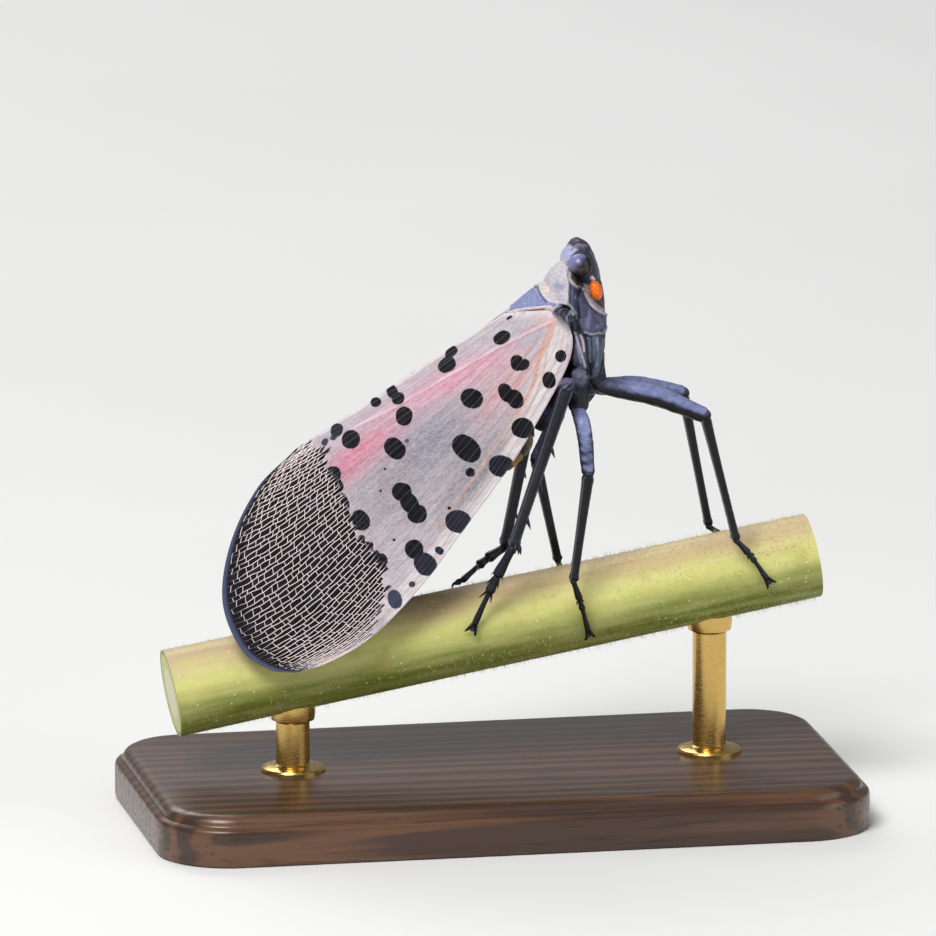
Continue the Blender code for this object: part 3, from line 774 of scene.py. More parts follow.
@dataclass(frozen=True)
class VeinFinish:
    """A wing's veins, in the colour painted on them."""

    name: str

    def material(self) -> Material:
        """Builds the material, which reads the field tint.

        Returns:
            The material.
        """
        g = Graph(self.name, Roughness=0.4, Specular_IOR_Level=0.4)
        g.colour(g.dimmed(g.span(g.noise(0.12, 2.0), 0.3, 0.7, 0.0, 0.3), g.tint(), (205, 190, 190)))
        g.bump(g.noise(0.05, 2.0), 0.006, 0.5)
        return g.material


def offsets(pixels: Array, at: Pair, turn: float) -> tuple[Array, Array]:
    """How far pixels lie from a place, along a direction turned clockwise and across it.

    Args:
        pixels: the pixels.
        at: the place.
        turn: the direction, in degrees from the photograph's right.

    Returns:
        The distances along and across.
    """
    c, s = math.cos(math.radians(turn)), math.sin(math.radians(turn))
    off = pixels - np.array(at)
    return off @ np.array([c, s]), off @ np.array([-s, c])


@dataclass(frozen=True)
class Spot:
    """A dark spot on the wing, by its pixel: two half sizes, a turn in degrees and its bluish bloom.

    A power of 2 is an ellipse, and more is boxier.
    """

    at: Pair
    long: float
    wide: float
    turn: float = 0.0
    haze: float = 0.0
    power: float = 2.15

    def depth(self, pixels: Array) -> Array:
        """How far inside the superellipse pixels lie, close to its edge.

        Args:
            pixels: where to measure it.

        Returns:
            The depth of each pixel, less than zero outside.
        """
        x, y = offsets(pixels, self.at, self.turn)
        along, across = np.abs(x / self.long), np.abs(y / self.wide)
        reach = (along**self.power + across**self.power) ** (1 / self.power)
        return (1 - reach) * min(self.long, self.wide)


SPOTS = (
    Spot((502.5, 338.2), 9.0, 7.0, -30), Spot((447.6, 365.8), 9.3, 8.6, -20),
    Spot((451.0, 352.8), 7.5, 5.2, -50), Spot((519.3, 364.5), 6.6, 8.2, -10),
    Spot((525.5, 366.3), 6.8, 5.6, -25), Spot((508.5, 394.5), 7.0, 10.2, -28),
    Spot((518.0, 400.8), 8.0, 10.0, -28), Spot((474.6, 400.8), 11.4, 9.8, 20),
    Spot((563.0, 357.0), 5.5, 6.2), Spot((551.6, 381.3), 6.7, 8.4), Spot((525.7, 429.5), 11.2, 10.2, 10),
    Spot((470.0, 450.7), 16.0, 11.6, 40), Spot((505.0, 467.8), 12.8, 10.8, 8, 0.04),
    Spot((406.9, 419.2), 8.6, 9.8), Spot((398.4, 452.0), 12.0, 9.4, 45),
    Spot((393.0, 393.5), 5.6, 7.4, -30), Spot((399.5, 400.5), 6.6, 6.6), Spot((405.8, 495.0), 9.8, 9.2),
    Spot((413.8, 506.3), 10.2, 8.8, 55), Spot((421.6, 517.0), 9.8, 9.4), Spot((474.1, 474.4), 4.6, 4.6),
    Spot((462.7, 523.8), 13.2, 11.4, 12, 0.12), Spot((453.5, 510.6), 2.0, 1.8),
    Spot((419.0, 552.0), 9.2, 9.6), Spot((430.5, 566.9), 12.4, 10.6, 45, 0.14),
    Spot((444.3, 553.0), 4.6, 3.9, 40, 0.16), Spot((417.3, 587.0), 3.4, 3.0, 0, 0.4),
    Spot((400.5, 602.5), 9.6, 7.2, 75, 0.45), Spot((386.3, 563.4), 6.6, 6.4),
    Spot((388.6, 472.7), 1.7, 1.4), Spot((384.6, 494.5), 1.4, 1.3), Spot((399.0, 543.3), 1.8, 1.4),
    Spot((410.4, 444.0), 2.6, 2.0, 0, 0.9), Spot((353.6, 443.0), 9.4, 9.8), Spot((336.7, 479.0), 8.2, 8.4),
    Spot((339.0, 491.0), 8.2, 8.6), Spot((334.5, 498.0), 6.0, 5.0), Spot((344.5, 508.0), 9.0, 10.8, -20),
    Spot((337.0, 512.5), 6.4, 6.0), Spot((365.2, 524.2), 10.8, 8.8, 60), Spot((366.4, 543.0), 3.6, 4.0),
    Spot((373.0, 550.3), 5.6, 4.6, 50), Spot((376.9, 404.3), 5.6, 5.0),
    Spot((338.6, 433.3), 6.6, 7.2, 0, 0.15), Spot((327.0, 445.5), 3.6, 4.0, 0, 0.3),
    Spot((335.5, 441.5), 3.2, 2.6, 0, 0.3), Spot((463.7, 335.6), 7.0, 2.3, -35),
    Spot((410.3, 372.4), 6.6, 2.3, -32), Spot((508.5, 317.0), 3.4, 1.5, -30),
)
FIELD = (
    (300, 440), (318, 452), (326, 458), (327.5, 467), (329, 473), (338, 484), (347, 500), (351, 513),
    (357, 530), (363, 543), (377, 554), (381, 565), (391, 572), (391, 583), (392, 597), (386, 610),
    (380, 625), (378, 645), (330, 730), (170, 730), (170, 400),
)
PALE_CORNER = ((396, 590), (420, 580), (385, 650), (330, 690), (340, 665), (378, 625))
HINGE = (552, 335)


@dataclass(frozen=True)
class Wash:
    """A soft area of colour on the wing: a pixel, two half sizes, a turn, a colour and a strength."""

    at: Pair
    size: Pair
    turn: float
    colour: Rgb
    strength: float

    def share(self, pixels: Array) -> Array:
        """How much of the colour lies at each pixel: a bell along its length times one across it."""
        x, y = offsets(pixels, self.at, self.turn)
        return self.strength * np.exp(-((x / self.size[0]) ** 2 + (y / self.size[1]) ** 2))


@dataclass(frozen=True)
class Streak:
    """A soft line of colour through pixels, with its half width, colour and strength."""

    line: tuple[Pair, ...]
    width: float
    colour: Rgb
    strength: float

    def share(self, pixels: Array) -> Array:
        """How much of the colour lies at each pixel."""
        return self.strength * bell(line_distance(pixels, self.line), self.width, 4)


WASHES = (
    Wash((430, 450), (70, 30), -38, (140, 140, 158), 0.85),
    Wash((480, 480), (60, 26), -52, (142, 138, 146), 0.85),
    Wash((395, 505), (36, 30), -50, (160, 154, 158), 0.75),
    Wash((452, 382), (72, 15), -28, (222, 158, 180), 0.85),
    Wash((368, 452), (42, 16), -38, (218, 132, 160), 0.90),
    Wash((348, 472), (20, 13), -38, (220, 134, 160), 0.75),
    Wash((505, 392), (40, 16), -52, (218, 164, 170), 0.7),
    Wash((478, 372), (40, 10), -28, (222, 158, 180), 0.5),
    Wash((530, 335), (28, 12), -12, (176, 178, 190), 0.85),
    Wash((545, 320), (12, 5), 8, (226, 180, 172), 0.7),
)
STREAKS = (
    Streak(((562, 335), (552, 365), (541, 400), (519, 455), (492, 503), (455, 545), (398, 612)), 13.0,
           (226, 220, 222), 0.9),
    Streak(((556, 322), (549, 343), (542, 359), (535, 388), (520, 416)), 2.0, (220, 146, 112), 0.7),
    Streak(((554, 322), (544, 348), (531, 372), (512, 396)), 1.3, (222, 156, 132), 0.55),
    Streak(((555, 330), (549, 352), (546, 374), (531, 412), (505, 452)), 1.1, (206, 160, 138), 0.5),
    Streak(((520, 416), (500, 443), (480, 478), (460, 504), (444, 535)), 1.6, (206, 166, 146), 0.65),
    Streak(((556, 318), (540, 326), (524, 334)), 2.0, (216, 156, 140), 0.5),
    Streak(((552, 322), (500, 348), (450, 377), (400, 407), (352, 432)), 1.3, (232, 206, 214), 0.8),
    Streak(((552, 325), (500, 351), (450, 380), (400, 410), (352, 435)), 0.9, (206, 140, 160), 0.7),
)


def edge_at(edge: Sequence[Pair], shares: Array) -> Array:
    """Places at shares of the length of a wing's edge, read from 80 even ones."""
    steps = np.linspace(0, 1, 80)
    return columns_at(shares, steps, along_curve(np.array(edge), steps))


@dataclass
class Forewing:
    """One long forewing: a thin leathery sheet in the shape of half a roof, with its veins raised on it.

    Its four edges are given as s and h.

    Attributes:
        lines: how many fine veins run along its outer part.
        crowd: how much more of the fine veins' rows end low on the tip.
        outer: share of the wing's length at which the veins end.
        start: where the ridge starts, as f and d.
        slopes: how steeply the right and left wing's ridge runs down backwards.
        leans: how much more the right and left wing leans out towards its end.
        lean: how much it leans out at its root.
        bends: how far its shoulder reaches out at its root, and how much less at its end.
        shoulder: how quickly the shoulder turns down.
        reach: s at which the shoulder and the lean have changed in full.
        midline: how near the wings come to each other at the ridge.
        opened: how far apart they stand below it.
        sunk: how far the sheet lies inside the roof.
        vein: half width of a strong vein.
        flutes: height of the shallow waves across it.
    """

    side: Side
    name: str = "forewing"
    columns: int = 330
    rows: int = 146
    lines: int = 58
    top: tuple[Pair, ...] = (
        (0.15, 0.02), (3.0, 0.0), (6.0, 0.0), (9.0, 0.0), (11.9, 0.0),
    )
    bottom: tuple[Pair, ...] = (
        (-1.92, 1.55), (-1.74, 2.2), (-1.05, 2.95), (0.3, 3.76), (3.56, 5.41), (6.95, 6.74), (10.36, 8.0),
        (13.72, 8.77), (16.19, 8.64), (17.62, 8.25),
    )
    root: tuple[Pair, ...] = ((0.15, 0.02), (-0.8, 0.30), (-1.65, 0.74), (-1.92, 1.55))
    tip: tuple[Pair, ...] = (
        (11.9, 0.0), (14.44, 0.44), (16.86, 1.79), (18.66, 3.76), (19.16, 5.99), (18.55, 7.5),
        (17.62, 8.25),
    )
    crowd: float = 1.55
    outer: float = 0.985
    start: Pair = (-1.71, 1.47)
    slopes: Pair = (math.radians(31.6), math.radians(35.6))
    leans: Pair = (0.08, 0.02)
    lean: float = 0.22
    bends: Pair = (1.9, 1.35)
    shoulder: float = 0.45
    reach: float = 14.0
    midline: float = 0.06
    opened: float = 0.28
    thickness: float = 0.05
    sunk: float = 0.10
    vein: float = 0.030
    flutes: float = 0.022
    waves: int = 11

    @property
    def ridge(self) -> Array:
        """World place where the ridge starts."""
        return INSECT.place([self.start[0], 0.0, self.start[1]])

    def ways(self) -> tuple[Array, Array]:
        """Works out how the ridge slopes.

        Returns:
            The directions back along it and square down from it.
        """
        slope = self.slopes[self.side is Side.LEFT]
        c, s = math.cos(slope), math.sin(slope)
        return np.array([-c, 0.0, -s]), np.array([s, 0.0, -c])

    def patch(self, u: Array, v: Array) -> Array:
        """The Coons patch between the wing's four edges.

        It is the blend of top and bottom over v plus the blend of root and tip over u, less the blend of the
        four corners.

        Args:
            u: shares of the way along it.
            v: shares of the way down it.

        Returns:
            Roof coordinates s and h.
        """
        a, b = u[..., None], v[..., None]
        corners = ((1 - a) * (1 - b) * np.array(self.top[0]) + (1 - a) * b * np.array(self.bottom[0])
                   + a * (1 - b) * np.array(self.top[-1]) + a * b * np.array(self.bottom[-1]))
        return ((1 - b) * edge_at(self.top, u) + b * edge_at(self.bottom, u) + (1 - a) * edge_at(self.root, v)
                + a * edge_at(self.tip, 1 - (1 - v) ** self.crowd) - corners)

    def half_width(self, s: Array, h: Array) -> Array:
        """How far the roof stands off the midline: a shoulder that turns down, then a steady lean.

        Args:
            s: places along the ridge.
            h: places down from it.

        Returns:
            The distance at each.
        """
        back = np.clip(s / self.reach, 0.0, 1.0)
        bend = self.bends[0] - self.bends[1] * back
        lean = self.lean + self.leans[self.side is Side.LEFT] * back
        down = np.maximum(h, 0.0)
        near = self.midline + (self.opened - self.midline) * (1 - np.exp(-down / 0.5))
        below = bend * (1 - np.exp(-down / self.shoulder)) + lean * down
        return near + below + (bend / self.shoulder + lean) * np.minimum(h, 0.0)

    def roof(self, s: Array, h: Array, inward: float = 0.0) -> Array:
        """World place of roof coordinates.

        Args:
            s: places along the ridge.
            h: places down from it.
            inward: how far inside the roof they lie, across it.

        Returns:
            The ridge's start plus s back, h down and the half width out.
        """
        back, down = self.ways()
        wide = (self.half_width(s, h) - inward) * self.side.value
        return self.ridge + back * s[..., None] + down * h[..., None] + LEFTWARD * wide[..., None]

    def surface(self, u: Array, v: Array, lift: float = 0.0) -> tuple[Array, Array]:
        """The wing's middle sheet, with shallow flutes: a cosine across the wing that fades at its ends.

        Args:
            u: shares of the way along it.
            v: shares of the way down it.
            lift: how far outside the middle sheet to go.

        Returns:
            World places and the directions outwards there.
        """
        side, step = self.side.value, 1e-3
        s, h = np.moveaxis(self.patch(u, v), -1, 0)
        here = self.roof(s, h)
        out = unit(np.cross(self.roof(s, h + step) - here, self.roof(s + step, h) - here) * side)
        flute = self.flutes * np.cos(2 * math.pi * self.waves * v) * np.clip(np.minimum(u, 1 - u) * 8, 0, 1)
        place = here + out * (flute - self.sunk + lift)[..., None]
        place[..., 1] = np.maximum(place[..., 1] * side, self.midline - 0.02) * side
        return place, out

    def photo(self, u: Array, v: Array) -> Array:
        """Pixels at which the near wing shows places given as u and v."""
        s, h = np.moveaxis(self.patch(u, v), -1, 0)
        return PHOTO.pixels(replace(self, side=Side.RIGHT).roof(s, h, self.sunk))

    def tuck(self, points: Array) -> Array:
        """Draws points on the wing's side of the body in, to lie inside the folded wing.

        Args:
            points: world places.

        Returns:
            The places, with no more width than the roof leaves below its upper edges.
        """
        mine = points[:, 1] * self.side.value >= 0
        s, h = ((points[mine] - self.ridge) @ way for way in self.ways())
        top = self.patch(np.linspace(0, 1, 60), np.zeros(60))
        root = self.patch(np.zeros(40), np.linspace(0, 1, 40))
        upper = np.where(s < self.top[0][0], np.interp(s, root[::-1, 0], root[::-1, 1], left=99.0),
                         np.interp(s, top[:, 0], top[:, 1], left=99.0))
        covered = ramp(h - upper, -0.12, 0.10)
        wide = np.abs(points[mine, 1])
        limit = np.maximum(self.half_width(s, h) - self.sunk - 0.12, 0.02)
        moved = points.copy()
        moved[mine, 1] = self.side.value * (wide * (1 - covered) + np.minimum(wide, limit) * covered)
        return moved

    def wobble(self, line: Array, u: Array) -> Array:
        """How far a fine vein strays from its own row, in rows: slow and quick sine waves."""
        return (0.10 * np.sin(u * 23 + line * 2.39) + 0.07 * np.sin(u * 61 + line * 4.1)
                + 0.07 * np.sin(u * 131 + line * 1.7))

    def line_v(self, line: Array | float, u: Array) -> Array:
        """v of a fine vein."""
        return (line + 0.5 + self.wobble(line, u)) / self.lines

    def rungs(self, line: int) -> Array:
        """u of the cross veins between a fine vein and the next: gaps drawn about a cell's length.

        Args:
            line: the vein's number.

        Returns:
            Their places, more than the wing has room for.
        """
        draw = np.random.default_rng(1000 + line)
        gaps = draw.gamma(5.0, 0.0190 / 5.0, 140) + 0.006
        return 0.30 + np.cumsum(gaps) - draw.uniform(0, 0.02)

    def cell_ink(self, u: Array, v: Array) -> tuple[Array, Array]:
        """Which cells of the network are dark: those whose middle lies in the dark field, give or take.

        Args:
            u: shares of the way along it.
            v: shares of the way down it.

        Returns:
            1 in a dark cell and 0 elsewhere, and a random value of each place's cell.
        """
        level = v * self.lines - 0.5
        row = np.floor(level - self.wobble(np.floor(level), u)).astype(int)
        dark, chance = np.zeros(len(u)), np.zeros(len(u))
        for line in range(-1, self.lines):
            mine = np.flatnonzero(row == line)
            if not len(mine):
                continue
            rungs = self.rungs(line)
            cell = np.searchsorted(rungs, u[mine])
            edges = np.concatenate([[0.0], rungs, [1.2]])
            centres = np.minimum((edges[1:] + edges[:-1]) / 2, 1.0)
            luck = np.random.default_rng(5000 + line).uniform(0, 1, len(centres))
            middle = np.full(len(centres), np.clip((line + 1) / self.lines, 0, 1))
            depth = polygon_depth(self.photo(centres, middle), FIELD)
            dark[mine] = (depth + (luck - 0.5) * 5 > 0)[cell]
            chance[mine] = luck[cell]
        return dark, chance

    def markings(self, u: Array, v: Array) -> dict[str, Array]:
        """Colour and markings at places on the wing: washes, streaks, spots, dark cells and a bloomy rim.

        Args:
            u: shares of the way along it.
            v: shares of the way down it.

        Returns:
            The fields tint, ink, which is how far inside a marking they lie, and haze.
        """
        pixels = self.photo(u, v)
        tint = np.tile(rgb(196, 190, 198), (len(u), 1))
        for mark in (*WASHES, *STREAKS):
            tint = laid(tint, mark.share(pixels), mark.colour)
        edge = bell(v, 0.020) * (u < 0.97) + bell(u, 0.016) * (v < 0.75)
        tint = laid(tint, np.clip(edge, 0, 1), (236, 228, 230))
        ripple = cloud(pixels, 14.0, 21) * 0.25
        ink, haze = np.full(len(u), -1.0), np.zeros(len(u))
        for spot in SPOTS:
            depth = (spot.depth(pixels) + ripple) * PHOTO.pixel
            haze = np.where(depth > ink, spot.haze, haze)
            ink = np.maximum(ink, depth)
        dark, chance = self.cell_ink(u, v)
        field_mm = polygon_depth(pixels, FIELD) * PHOTO.pixel
        cell = np.where(dark > 0, 0.2, -0.2)
        haze = np.where(cell > ink, 0.06 * (chance > 0.9), haze)
        rim = ramp(np.minimum((1 - u) * 20.0, 9.0), 0.34, 0.10) * (field_mm > 0)
        low = ramp(polygon_depth(pixels, PALE_CORNER), -6, 6) * (field_mm > -2)
        haze = np.maximum(np.maximum(haze, rim * 0.8), low * 0.5)
        return {"tint": tint, "ink": np.maximum(ink, cell), "haze": haze}

    def grid(self) -> tuple[Array, Array]:
        """u and v of the sheet's points, row by row."""
        u, v = np.meshgrid(np.linspace(0, 1, self.columns), np.linspace(0, 1, self.rows), indexing="ij")
        return u.ravel(), v.ravel()

    def membrane(self) -> Sheet:
        """The wing's closed sheet: two faces a thickness apart, joined round the rim.

        Returns:
            The sheet with its markings.
        """
        u, v = self.grid()
        outer, inner = (self.surface(u, v, lift)[0] for lift in (self.thickness / 2, -self.thickness / 2))
        n, m = self.columns, self.rows
        rim = np.concatenate([np.arange(n) * m, (n - 1) * m + np.arange(1, m),
                              np.arange(n - 2, -1, -1) * m + m - 1, np.arange(m - 2, 0, -1)])
        ahead = np.roll(rim, -1)
        quads, wall = grid_quads(n, m), np.stack([rim, ahead, n * m + ahead, n * m + rim], -1)
        if self.side is Side.LEFT:
            quads = quads[:, ::-1]
        else:
            wall = wall[:, ::-1]
        fields = {name: np.concatenate([values, values]) for name, values in self.markings(u, v).items()}
        return Sheet(np.concatenate([outer, inner]), np.concatenate([quads, n * m + quads[:, ::-1], wall]),
                     fields=fields)

    def ribs(self, u: Array, v: Array, half: Array, high: Array) -> Sheet:
        """Raised veins along rows of places: a diamond carried along each row.

        Args:
            u: places along the wing, one row for each vein.
            v: places across it.
            half: half width of the vein at each place.
            high: half height of the vein at each place.

        Returns:
            The veins, with their places in the fields u and v.
        """
        middle, out = self.surface(u.ravel(), v.ravel())
        middle, out = middle.reshape(*u.shape, 3), out.reshape(*u.shape, 3)
        across = unit(np.cross(np.gradient(middle, axis=1), out)) * half[..., None]
        out = out * high[..., None]
        points = middle[:, :, None] + np.stack([across, out, -across, -out], axis=2)
        count, length = u.shape
        first = np.arange(count)[:, None, None] * length * 4
        ends = np.array([[0, 1, 2, 3], [length * 4 - 1, length * 4 - 2, length * 4 - 3, length * 4 - 4]])
        quads, caps = ((first + faces[None]).reshape(-1, 4)[:, ::-1]
                       for faces in (grid_quads(length, 4, True), ends))
        fields = {"u": np.repeat(u.ravel(), 4), "v": np.repeat(v.ravel(), 4)}
        return Sheet(points.reshape(-1, 3), np.concatenate([quads, caps]), fields=fields)

    def field_start(self, line: Array) -> Array:
        """u at which a fine vein enters the dark field.

        Args:
            line: the veins' numbers.

        Returns:
            The first of 120 places along each that lies in the field.
        """
        u = np.linspace(0.3, 1.0, 120)
        grid_u, grid_l = np.meshgrid(u, line)
        pixels = self.photo(grid_u.ravel(), np.clip((grid_l.ravel() + 0.5) / self.lines, 0, 1))
        inside = polygon_depth(pixels, FIELD).reshape(grid_u.shape) > 0
        return np.where(inside.any(1), u[inside.argmax(1)], 0.97)

    def lengthwise(self, enters: Array, draw: np.random.Generator) -> Sheet:
        """Veins along the wing: a quarter from its root, a quarter from further out, the rest by the field.

        Args:
            enters: u at which each enters the dark field.
            draw: where random values come from.

        Returns:
            The veins, thinner at both ends and stronger inside the field.
        """
        line = np.arange(self.lines)
        main, second = line % 4 == 1, line % 4 == 3
        begin = np.where(main, 0.012, np.where(second, draw.uniform(0.18, 0.34, self.lines),
                                               enters - draw.uniform(0.01, 0.10, self.lines)))[:, None]
        t = np.linspace(0, 1, 150)
        u = begin + (self.outer - begin) * t
        v = self.line_v(line[:, None], u)
        inside = ramp(u - enters[:, None], -0.05, 0.02)
        strong = np.where(main, 0.9, np.where(second, 0.6, 0.45))[:, None]
        thin = np.clip((self.outer - u) / 0.05, 0.25, 1) * np.clip(t / 0.04, 0.15, 1)
        half = self.vein * thin * (inside + (1 - inside) * strong * 1.15)
        high = self.thickness / 2 + self.vein * 1.3 * thin * (inside + (1 - inside) * 0.45 * strong)
        return self.ribs(u, np.clip(v, 0.004, 0.996), half, high)

    def crosswise(self, enters: Array, draw: np.random.Generator) -> Sheet:
        """The rungs between each fine vein and the next, from a little before the dark field.

        Args:
            enters: u at which each vein enters the dark field.
            draw: where random values come from.

        Returns:
            The rungs, each slightly slanted.
        """
        starts, stops, places = [], [], []
        for k in range(-1, self.lines):
            rungs = self.rungs(k)
            first = enters[min(max(k, 0), self.lines - 1)] - 0.09
            rungs = rungs[(rungs > first) & (rungs < self.outer)]
            starts.append(np.clip(self.line_v(float(k), rungs), 0.0, 1.0) if k >= 0 else 0 * rungs)
            inside = k + 1 < self.lines
            stops.append(np.clip(self.line_v(k + 1.0, rungs), 0, 1) if inside else 0 * rungs + 1.0)
            places.append(rungs)
        place, low, up = (np.concatenate(rows) for rows in (places, starts, stops))
        slant = draw.uniform(-0.004, 0.004, len(place))[:, None]
        share = np.array([0.0, 0.5, 1.0])
        strength = ramp(polygon_depth(self.photo(place, (low + up) / 2), FIELD), -26, 4)[:, None] * np.ones(3)
        return self.ribs(place[:, None] + slant * (share - 0.5), low[:, None] + (up - low)[:, None] * share,
                         self.vein * 0.9 * (0.45 + 0.55 * strength),
                         self.thickness / 2 + self.vein * (0.15 + 0.9 * strength))

    def veins(self) -> Sheet:
        """The network of veins.

        Returns:
            The veins with their colour.
        """
        draw = np.random.default_rng(77)
        enters = self.field_start(np.arange(self.lines))
        made = Sheet.joined([self.lengthwise(enters, draw), self.crosswise(enters, draw)])
        made.fields = {"tint": self.vein_tint(made.fields["u"], made.fields["v"])}
        return made

    def vein_tint(self, u: Array, v: Array) -> Array:
        """Colour of the veins: cream in the dark field, tan outside it and slate over the spots.

        Args:
            u: shares of the way along it.
            v: shares of the way down it.

        Returns:
            The colour at each place.
        """
        marks = self.markings(u, v)
        pixels = self.photo(u, v)
        depth = polygon_depth(pixels, FIELD)
        inside = ramp(depth, -9, 3)
        tint = marks["tint"] * 0.38 + rgb(146, 116, 120) * 0.62
        tint = laid(tint, bell(np.linalg.norm(pixels - np.array(HINGE), axis=1), 60) * 0.5, (206, 150, 124))
        tint = laid(tint, inside, (248, 232, 230))
        tint = laid(tint, ramp((1 - u) * 20.0, 0.45, 0.12) * inside * 0.8, (90, 98, 126))
        return laid(tint, ramp(marks["ink"], 0.0, 0.03) * (1 - ramp(depth, -4, 2)), (66, 70, 84))

    def build(self, finish: Material, vein_finish: Material) -> None:
        """Makes the wing and its veins as two pieces.

        Args:
            finish: the wing's material.
            vein_finish: the veins' material.
        """
        name = f"{self.name}_{self.side.word}"
        wing = self.membrane().piece(f"{name}_membrane", finish, self.name, [name])
        place = np.tile(self.patch(*self.grid()), (2, 1))
        corners = np.zeros(len(wing.data.loops), np.int32)
        wing.data.loops.foreach_get("vertex_index", corners)
        layer = wing.data.uv_layers.new(name="wing")
        layer.data.foreach_set("uv", (place[corners] * MM).astype(np.float32).ravel())
        self.veins().piece(f"{name}_veins", vein_finish, self.name)


@dataclass
class HindWing(Forewing):
    """The scarlet hind wing that lies folded under the forewing."""

    name: str = "hindwing"
    columns: int = 150
    rows: int = 70
    lines: int = 22
    top: tuple[Pair, ...] = ((1.6, 1.5), (3.5, 1.0), (6.5, 0.95), (9.5, 1.1), (12.0, 1.9))
    bottom: tuple[Pair, ...] = ((1.6, 2.9), (3.5, 4.1), (6.0, 5.1), (9.0, 5.9), (12.0, 6.2))
    root: tuple[Pair, ...] = ((1.6, 1.5), (1.4, 2.2), (1.6, 2.9))
    tip: tuple[Pair, ...] = ((12.0, 1.9), (14.2, 3.2), (14.4, 4.8), (12.0, 6.2))
    sunk: float = 0.62
    flutes: float = 0.06
    spots: tuple[Triple, ...] = ((0.12, 0.3, 0.34), (0.2, 0.66, 0.4), (0.3, 0.36, 0.42), (0.38, 0.72, 0.38),
                                 (0.45, 0.2, 0.36), (0.46, 0.5, 0.3), (0.3, 0.9, 0.24))
    size: Pair = (12.0, 4.0)

    def markings(self, u: Array, v: Array) -> dict[str, Array]:
        """Scarlet with black spots near the root, then a white band and a black tip.

        Args:
            u: shares of the way along it.
            v: shares of the way down it.

        Returns:
            The fields tint, ink and haze.
        """
        long, wide = self.size
        place = np.stack([u * long, v * wide], axis=-1)
        tint = laid(np.tile(rgb(196, 34, 26), (len(u), 1)), ramp(u, 0.3, 0.0), (222, 96, 40))
        tint = laid(tint, ramp(u + 0.05 * cloud(place, 3.0, 5), 0.52, 0.56), (226, 220, 214))
        ink = (u + 0.04 * cloud(place, 2.0, 6) - 0.66) * 6
        for a, b, radius in self.spots:
            ink = np.maximum(ink, radius - np.hypot((u - a) * long, (v - b) * wide))
        return {"tint": tint, "ink": ink, "haze": 0 * u}

    def veins(self) -> Sheet:
        """A plain fan of veins along the wing, thinner towards its end.

        Returns:
            The veins with their colour.
        """
        t = np.linspace(0, 1, 60)
        line = np.arange(self.lines)[:, None]
        u = 0.02 + 0.96 * t + 0 * line
        thin = self.vein * np.clip((1 - t) / 0.08, 0.3, 1) + 0 * u
        made = self.ribs(u, self.line_v(line, u), thin, self.thickness / 2 + thin)
        marks = self.markings(made.fields["u"], made.fields["v"])
        made.fields = {"tint": laid(marks["tint"] * 0.7, ramp(marks["ink"], -0.02, 0.02), (60, 40, 40))}
        return made


def powered(values: Array, box: float) -> Array:
    """Cosines or sines bent to a superellipse's: their own sign, and their size to the power 2 over box."""
    return np.sign(values) * np.abs(values) ** (2 / box)


def stacked(levels: Sequence[tuple[float, ...]], box: float, count: int = 60, sides: int = 80) -> Sheet:
    """A closed body stacked along d from superellipses.

    Args:
        levels: d, front f, back f and half width of each level.
        box: exponent of the superellipse.
        count: levels read from the smooth curve through the given ones.
        sides: points in a level.

    Returns:
        The closed body.
    """
    d, front, back, half = along_curve(np.array(levels), np.linspace(0, 1, count)).T[..., None]
    _, c, s = circle(sides)
    f = (front + back) / 2 + (front - back) / 2 * powered(c, box)
    return shell(INSECT.place(np.stack([f, half * powered(s, box), d + 0 * f], -1)))


def lofted(sections: Sequence[tuple[float, ...]], box: float, count: int = 60, sides: int = 80) -> Sheet:
    """A closed body lofted along f from superellipses.

    Args:
        sections: f, top d, bottom d, half width and level of the widest place of each section.
        box: exponent of the superellipse.
        count: sections read from the smooth curve through the given ones.
        sides: points in a section.

    Returns:
        The closed body.
    """
    f, top, bottom, half, level = along_curve(np.array(sections), np.linspace(0, 1, count)).T[..., None]
    _, c, s = circle(sides)
    l = half * powered(c, box)
    d = level + np.where(s > 0, top - level, level - bottom) * powered(s, box)
    return shell(INSECT.place(np.stack([f + 0 * l, l, d], -1)))


@dataclass(frozen=True)
class Plate:
    """An area of the skin outlined in pixels, with its colour, soft edge, roughness, bloom and rise."""

    outline: tuple[Pair, ...]
    colour: Rgb
    soft: float = 1.2
    rough: float = 0.5
    bloom: float = 0.2
    rise: float = 0.0

    def share(self, pixels: Array) -> Array:
        """How much of the area covers each pixel."""
        return ramp(polygon_depth(pixels, self.outline), -self.soft, self.soft)


@dataclass(frozen=True)
class Ridge:
    """A line on the skin through pixels, raised or sunk, with its half width and colour."""

    line: tuple[Pair, ...]
    width: float
    colour: Rgb
    rise: float = 0.0
    rough: float = 0.45
    bloom: float = 0.0

    def share(self, pixels: Array) -> Array:
        """How much of the line covers each pixel."""
        return bell(line_distance(pixels, self.line), self.width)


